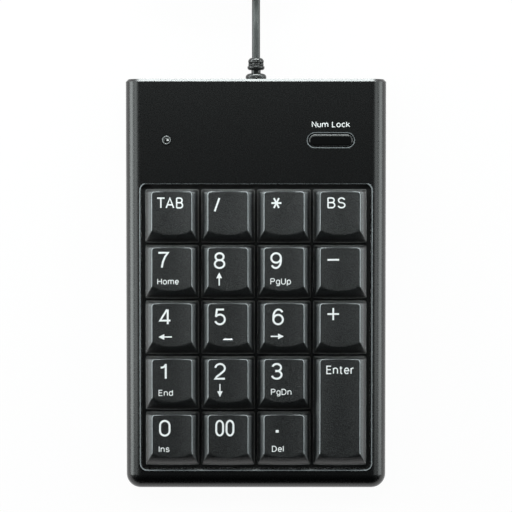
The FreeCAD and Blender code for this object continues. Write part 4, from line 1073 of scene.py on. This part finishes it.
def well_outline(out_by, steps=8):
    """The well's opening, grown outwards: a rectangle with round corners."""
    right, radius = WELL_HALF + out_by, WELL_CORNER + out_by
    front, back = WELL_FRONT - out_by, WELL_BACK + out_by
    points = []
    for k, (x, y) in enumerate(((right, front), (right, back), (-right, back), (-right, front))):
        centre = (x - math.copysign(radius, x), y + (radius if y == front else -radius))
        points += [polar(*centre, radius, 90 * (k - 1 + j / steps)) for j in range(steps + 1)]
    return points


def rim_ring(name, outline, levels, height=lambda v: 1):
    """A closed ring with one small cross-section all the way round an opening."""
    points = [(u, v, n * height(v) if n > 0 else n) for out_by, n in levels for u, v in outline(out_by)]
    count = len(outline(0))
    faces = ring_faces(count, len(levels))
    last = len(points) - count
    faces += [(i, (i + 1) % count, last + (i + 1) % count, last + i) for i in range(count)]
    piece(name, on_deck(points), faces, rim_highlight, "case_plastic", "housing", (), 55)


# the rims' pale tone is a painted highlight, drawing the bright line round the hole and the well
rim_highlight = glossy("rim_highlight", tone(160, COOL), 0.22)
rim_ring("button_rim", hole_outline, HOLE_RIM)
rim_ring("well_rim", well_outline, WELL_RIM, lambda v: 1 - eased((v - WELL_BACK) / FADE + 1))
print("rims:", round(HOLE_RIM[0][0], 2), "mm wide round the hole,",
      round(WELL_RIM[0][0] - WELL_RIM[5][0], 2), "mm round the well")

# %% [markdown]
# ## Finishes of the pieces that keep their solids
#
# The case halves, deck, switch stack, board and plug already have their real shapes, so each only
# needs what it is made of: rubber that is dull and dusty, steel that is drawn or plated, a green
# board under lacquer. Each finish is a short function of its own with a fitting texture scale.

# %% Rubber, cloth, metal and board
def rubber(name, colour, roughness, grain=1800, depth=0.00002):
    """Dull rubber or soft PVC: a slow mottle and a fine relief."""
    return mottled(name, scaled(colour, 0.8), colour, 150, roughness, 0.1, grain, depth)


def translucent(name, colour, roughness, transmission):
    """Milky or clear plastic and silicone."""
    return mottled(name, scaled(colour, 0.92), colour, 300, roughness, 0.06,
                   Transmission_Weight=transmission)


def woven(name, colour):
    """Ribbed textile strap: fine bands of yarn with fluff between them."""
    make = Finish(name)
    ribs = make.bands("DIAGONAL", 500, 1.5, 2.0)
    fluff = make.noise(2500, detail=3.0)
    return make.shade(
        Base_Color=make.blend(ribs * 0.7 + fluff * 0.3, scaled(colour, 0.4), colour),
        Roughness=0.8 + 0.1 * fluff,
        Normal=make.bump(ribs * 0.8 + fluff * 0.2, 0.00012),
    )


METAL_DARK = 0.86


def metal(name, colour, roughness, stretch=(1, 1, 1)):
    """Plated or drawn metal: roughness and tint drift along the direction it was worked in."""
    make = Finish(name)
    lines = make.noise(900, detail=3.0, stretch=stretch)
    return make.shade(
        Base_Color=make.blend(lines, scaled(colour, METAL_DARK), colour),
        Metallic=1.0,
        Roughness=roughness - 0.06 + 0.16 * lines,
        Normal=make.bump(lines, 0.000004),
    )


def lacquered_board(name):
    """Green laminate: woven glass under lacquer, with darker copper lines."""
    make = Finish(name)
    weave = make.node("ShaderNodeTexVoronoi", {"Vector": make.place(), "Scale": 1400})
    tracks = make.bands("X", 160, 6.0, 1.0)
    dark_green, green = (0.006, 0.05, 0.02, 1), (0.014, 0.11, 0.045, 1)
    return make.shade(
        Base_Color=make.blend(tracks * 0.6 + weave * 0.3, dark_green, green),
        Roughness=0.3 + 0.1 * weave,
        Normal=make.bump(tracks, 0.00002),
        Coat_Weight=0.4,
    )


print("a metal's tint drifts by", 1 - METAL_DARK, "of its colour")

# %% What each solid is made of
MADE = (
    (translucent, "silicone", tone(225), 0.5, 0.2),
    (translucent, "switch_film", tone(205, (0.95, 1, 0.95)), 0.25, 0.3),
    (metal, "plate_steel", tone(176), 0.34, (1, 12, 1)),
    (metal, "screw_steel", tone(150), 0.3, (4, 4, 1)),
    (metal, "spring_steel", tone(190), 0.24, (1, 1, 6)),
    (metal, "switch_metal", tone(200), 0.26),
    (translucent, "clear_epoxy", tone(150), 0.08, 0.6),
    (metal, "tinned_metal", tone(205), 0.3, (1, 1, 5)),
    (lacquered_board, "board_laminate"),
    (rubber, "chip_epoxy", tone(34), 0.45),
    (rubber, "ceramic_body", tone(150, (1.0, 0.85, 0.6)), 0.3),
    (rubber, "white_nylon", tone(228), 0.4, 1800, 0.00001),
    (rubber, "lead_insulation", tone(120, (1.0, 0.35, 0.3)), 0.35),
    (rubber, "foot_rubber", tone(30), 0.75, 1200, 0.00006),
    (woven, "tie_strap", tone(26)),
    (rubber, "plug_plastic", tone(42, PVC_TINT), 0.42),
    (metal, "plug_metal", tone(205), 0.26, (1, 8, 1)),
    (metal, "gold_contact", tone(226, (1.0, 0.82, 0.45)), 0.22),
)
slot_finishes = {slot: maker(slot, *values) for maker, slot, *values in MADE}
slot_finishes |= {"case_plastic": case_plastic, "keycap_plastic": keycap_plastic,
                  "deck_plastic": deck_plastic, "button_plastic": button_plastic,
                  "cord_jacket": cord_jacket, "boot_rubber": boot_rubber}
slot_of = {s["node"]: s["material_slot"] for s in frame["record"]["subparts"]}
dressed = 0
for node, obj in frame["nodes"].items():
    if obj.hide_render:
        continue
    obj.data.materials.clear()
    obj.data.materials.append(slot_finishes[slot_of[node]])
    dressed += 1
print(dressed, "solids keep their shape and have a finish")

# %% [markdown]
# ## Table, background and light
#
# The keypad lies on a plain pale table in a bright studio. The table keeps a soft contact shadow,
# while what the camera, glossy and clear surfaces see of it is close to white. The light comes low
# from the back and from both sides and hardly from the front: that is what draws the bright lines
# along the back and side edges and leaves the front faces dark, helped on the caps by the painted
# highlights and shade of their plastic. One big soft lamp overhead would be simpler, but the panel
# and the tops would mirror it and turn grey.

# %% Table
SEEN_WHITE = 0.96
TABLE_HALF = 1.5


def table_finish():
    """Matt to lights, and nearly white to the camera and in mirrors."""
    make = Finish("table")
    rays = [make.node("ShaderNodeLightPath", output=f"Is {kind} Ray")
            for kind in ("Camera", "Glossy", "Transmission")]
    matt = make.node("ShaderNodeBsdfDiffuse", {"Color": tone(225)})
    white = make.node("ShaderNodeEmission", {"Color": (1, 1, 1, 1), "Strength": 1.0})
    seen = (rays[0] + rays[1] + rays[2]) * SEEN_WHITE
    return make.close(make.node("ShaderNodeMixShader", {0: seen, 1: matt, 2: white}))


table = bpy.data.objects.new("table", bpy.data.meshes.new("table"))
table.data.from_pydata([(TABLE_HALF * x, TABLE_HALF * y, 0)
                        for x, y in ((-1, -1), (1, -1), (1, 1), (-1, 1))], [], [(0, 1, 2, 3)])
table.data.materials.append(table_finish())
bpy.context.scene.collection.objects.link(table)
print("the table is", 2 * TABLE_HALF, "m wide")

# %% Lamps
CENTRE = Vector((0, 0, 0.015))
DAYLIGHT = (0.93, 1.0, 0.99)


def lamp(name, azimuth, elevation, distance, width, height, radiance):
    """Soft lamp facing the keypad from a bearing (0 is the back, 90 the right) and an elevation.

    Radiance is the brightness of its face, where 1 is white.
    """
    light = bpy.data.lights.new(name, "AREA")
    light.shape = "RECTANGLE"
    light.size = width
    light.size_y = height
    light.energy = radiance * math.pi * width * height
    light.color = DAYLIGHT
    bearing, up = math.radians(azimuth), math.radians(elevation)
    away = Vector((math.sin(bearing) * math.cos(up), math.cos(bearing) * math.cos(up), math.sin(up)))
    obj = bpy.data.objects.new(name, light)
    obj.location = CENTRE + away * distance
    obj.rotation_euler = (CENTRE - obj.location).to_track_quat("-Z", "Y").to_euler()
    bpy.context.scene.collection.objects.link(obj)


lamp("lamp_back_low", 0, 8.5, 0.46, 0.36, 0.10, 32)
lamp("lamp_back_high", -6, 69, 0.5, 0.3, 0.07, 10.5)
for side, level in ((-1, 1.1), (1, 0.8)):
    lamp(f"lamp_corner_{side}", 42 * side, 9, 0.46, 0.26, 0.08, 12 * level)
    lamp(f"lamp_side_low_{side}", 85 * side, 11, 0.45, 0.38, 0.22, 5.2 * level)
    lamp(f"lamp_side_high_{side}", 82 * side, 44, 0.45, 0.38, 0.18, 2.7 * level)
print("lamps:", len(bpy.data.lights))

# %% [markdown]
# The rest of the room is a dim grey dome that is darkest towards the front, so that the panel and
# the tops stay deep black and the front walls of the caps are the darkest of all.

# %% Room
studio = bpy.data.worlds.new("studio")
bpy.context.scene.world = studio
make = Finish("studio", world=studio)
towards = make.node("ShaderNodeTexCoord", output="Generated")
to_back = make.node("ShaderNodeSeparateXYZ", {0: towards}, output="Y")
lit = make.node("ShaderNodeMapRange", {"Value": to_back, "From Min": -0.6, "From Max": 0.0}, clamp=True)
glow = make.node("ShaderNodeBackground", {
    "Color": make.blend(lit, tone(8, COOL), tone(86, COOL)), "Strength": 1.0})
make.node("ShaderNodeOutputWorld", {"Surface": glow})
bpy.context.scene.view_settings.view_transform = "Standard"
print("the dome is", round(tone(86)[0], 3), "bright at the back and", round(tone(8)[0], 3), "in front")

# %% [markdown]
# ## Measures and the end
#
# A helper turns a box's corners into plain numbers.

# %% Close
def corners(box):
    return [[float(x) for x in corner] for corner in box]
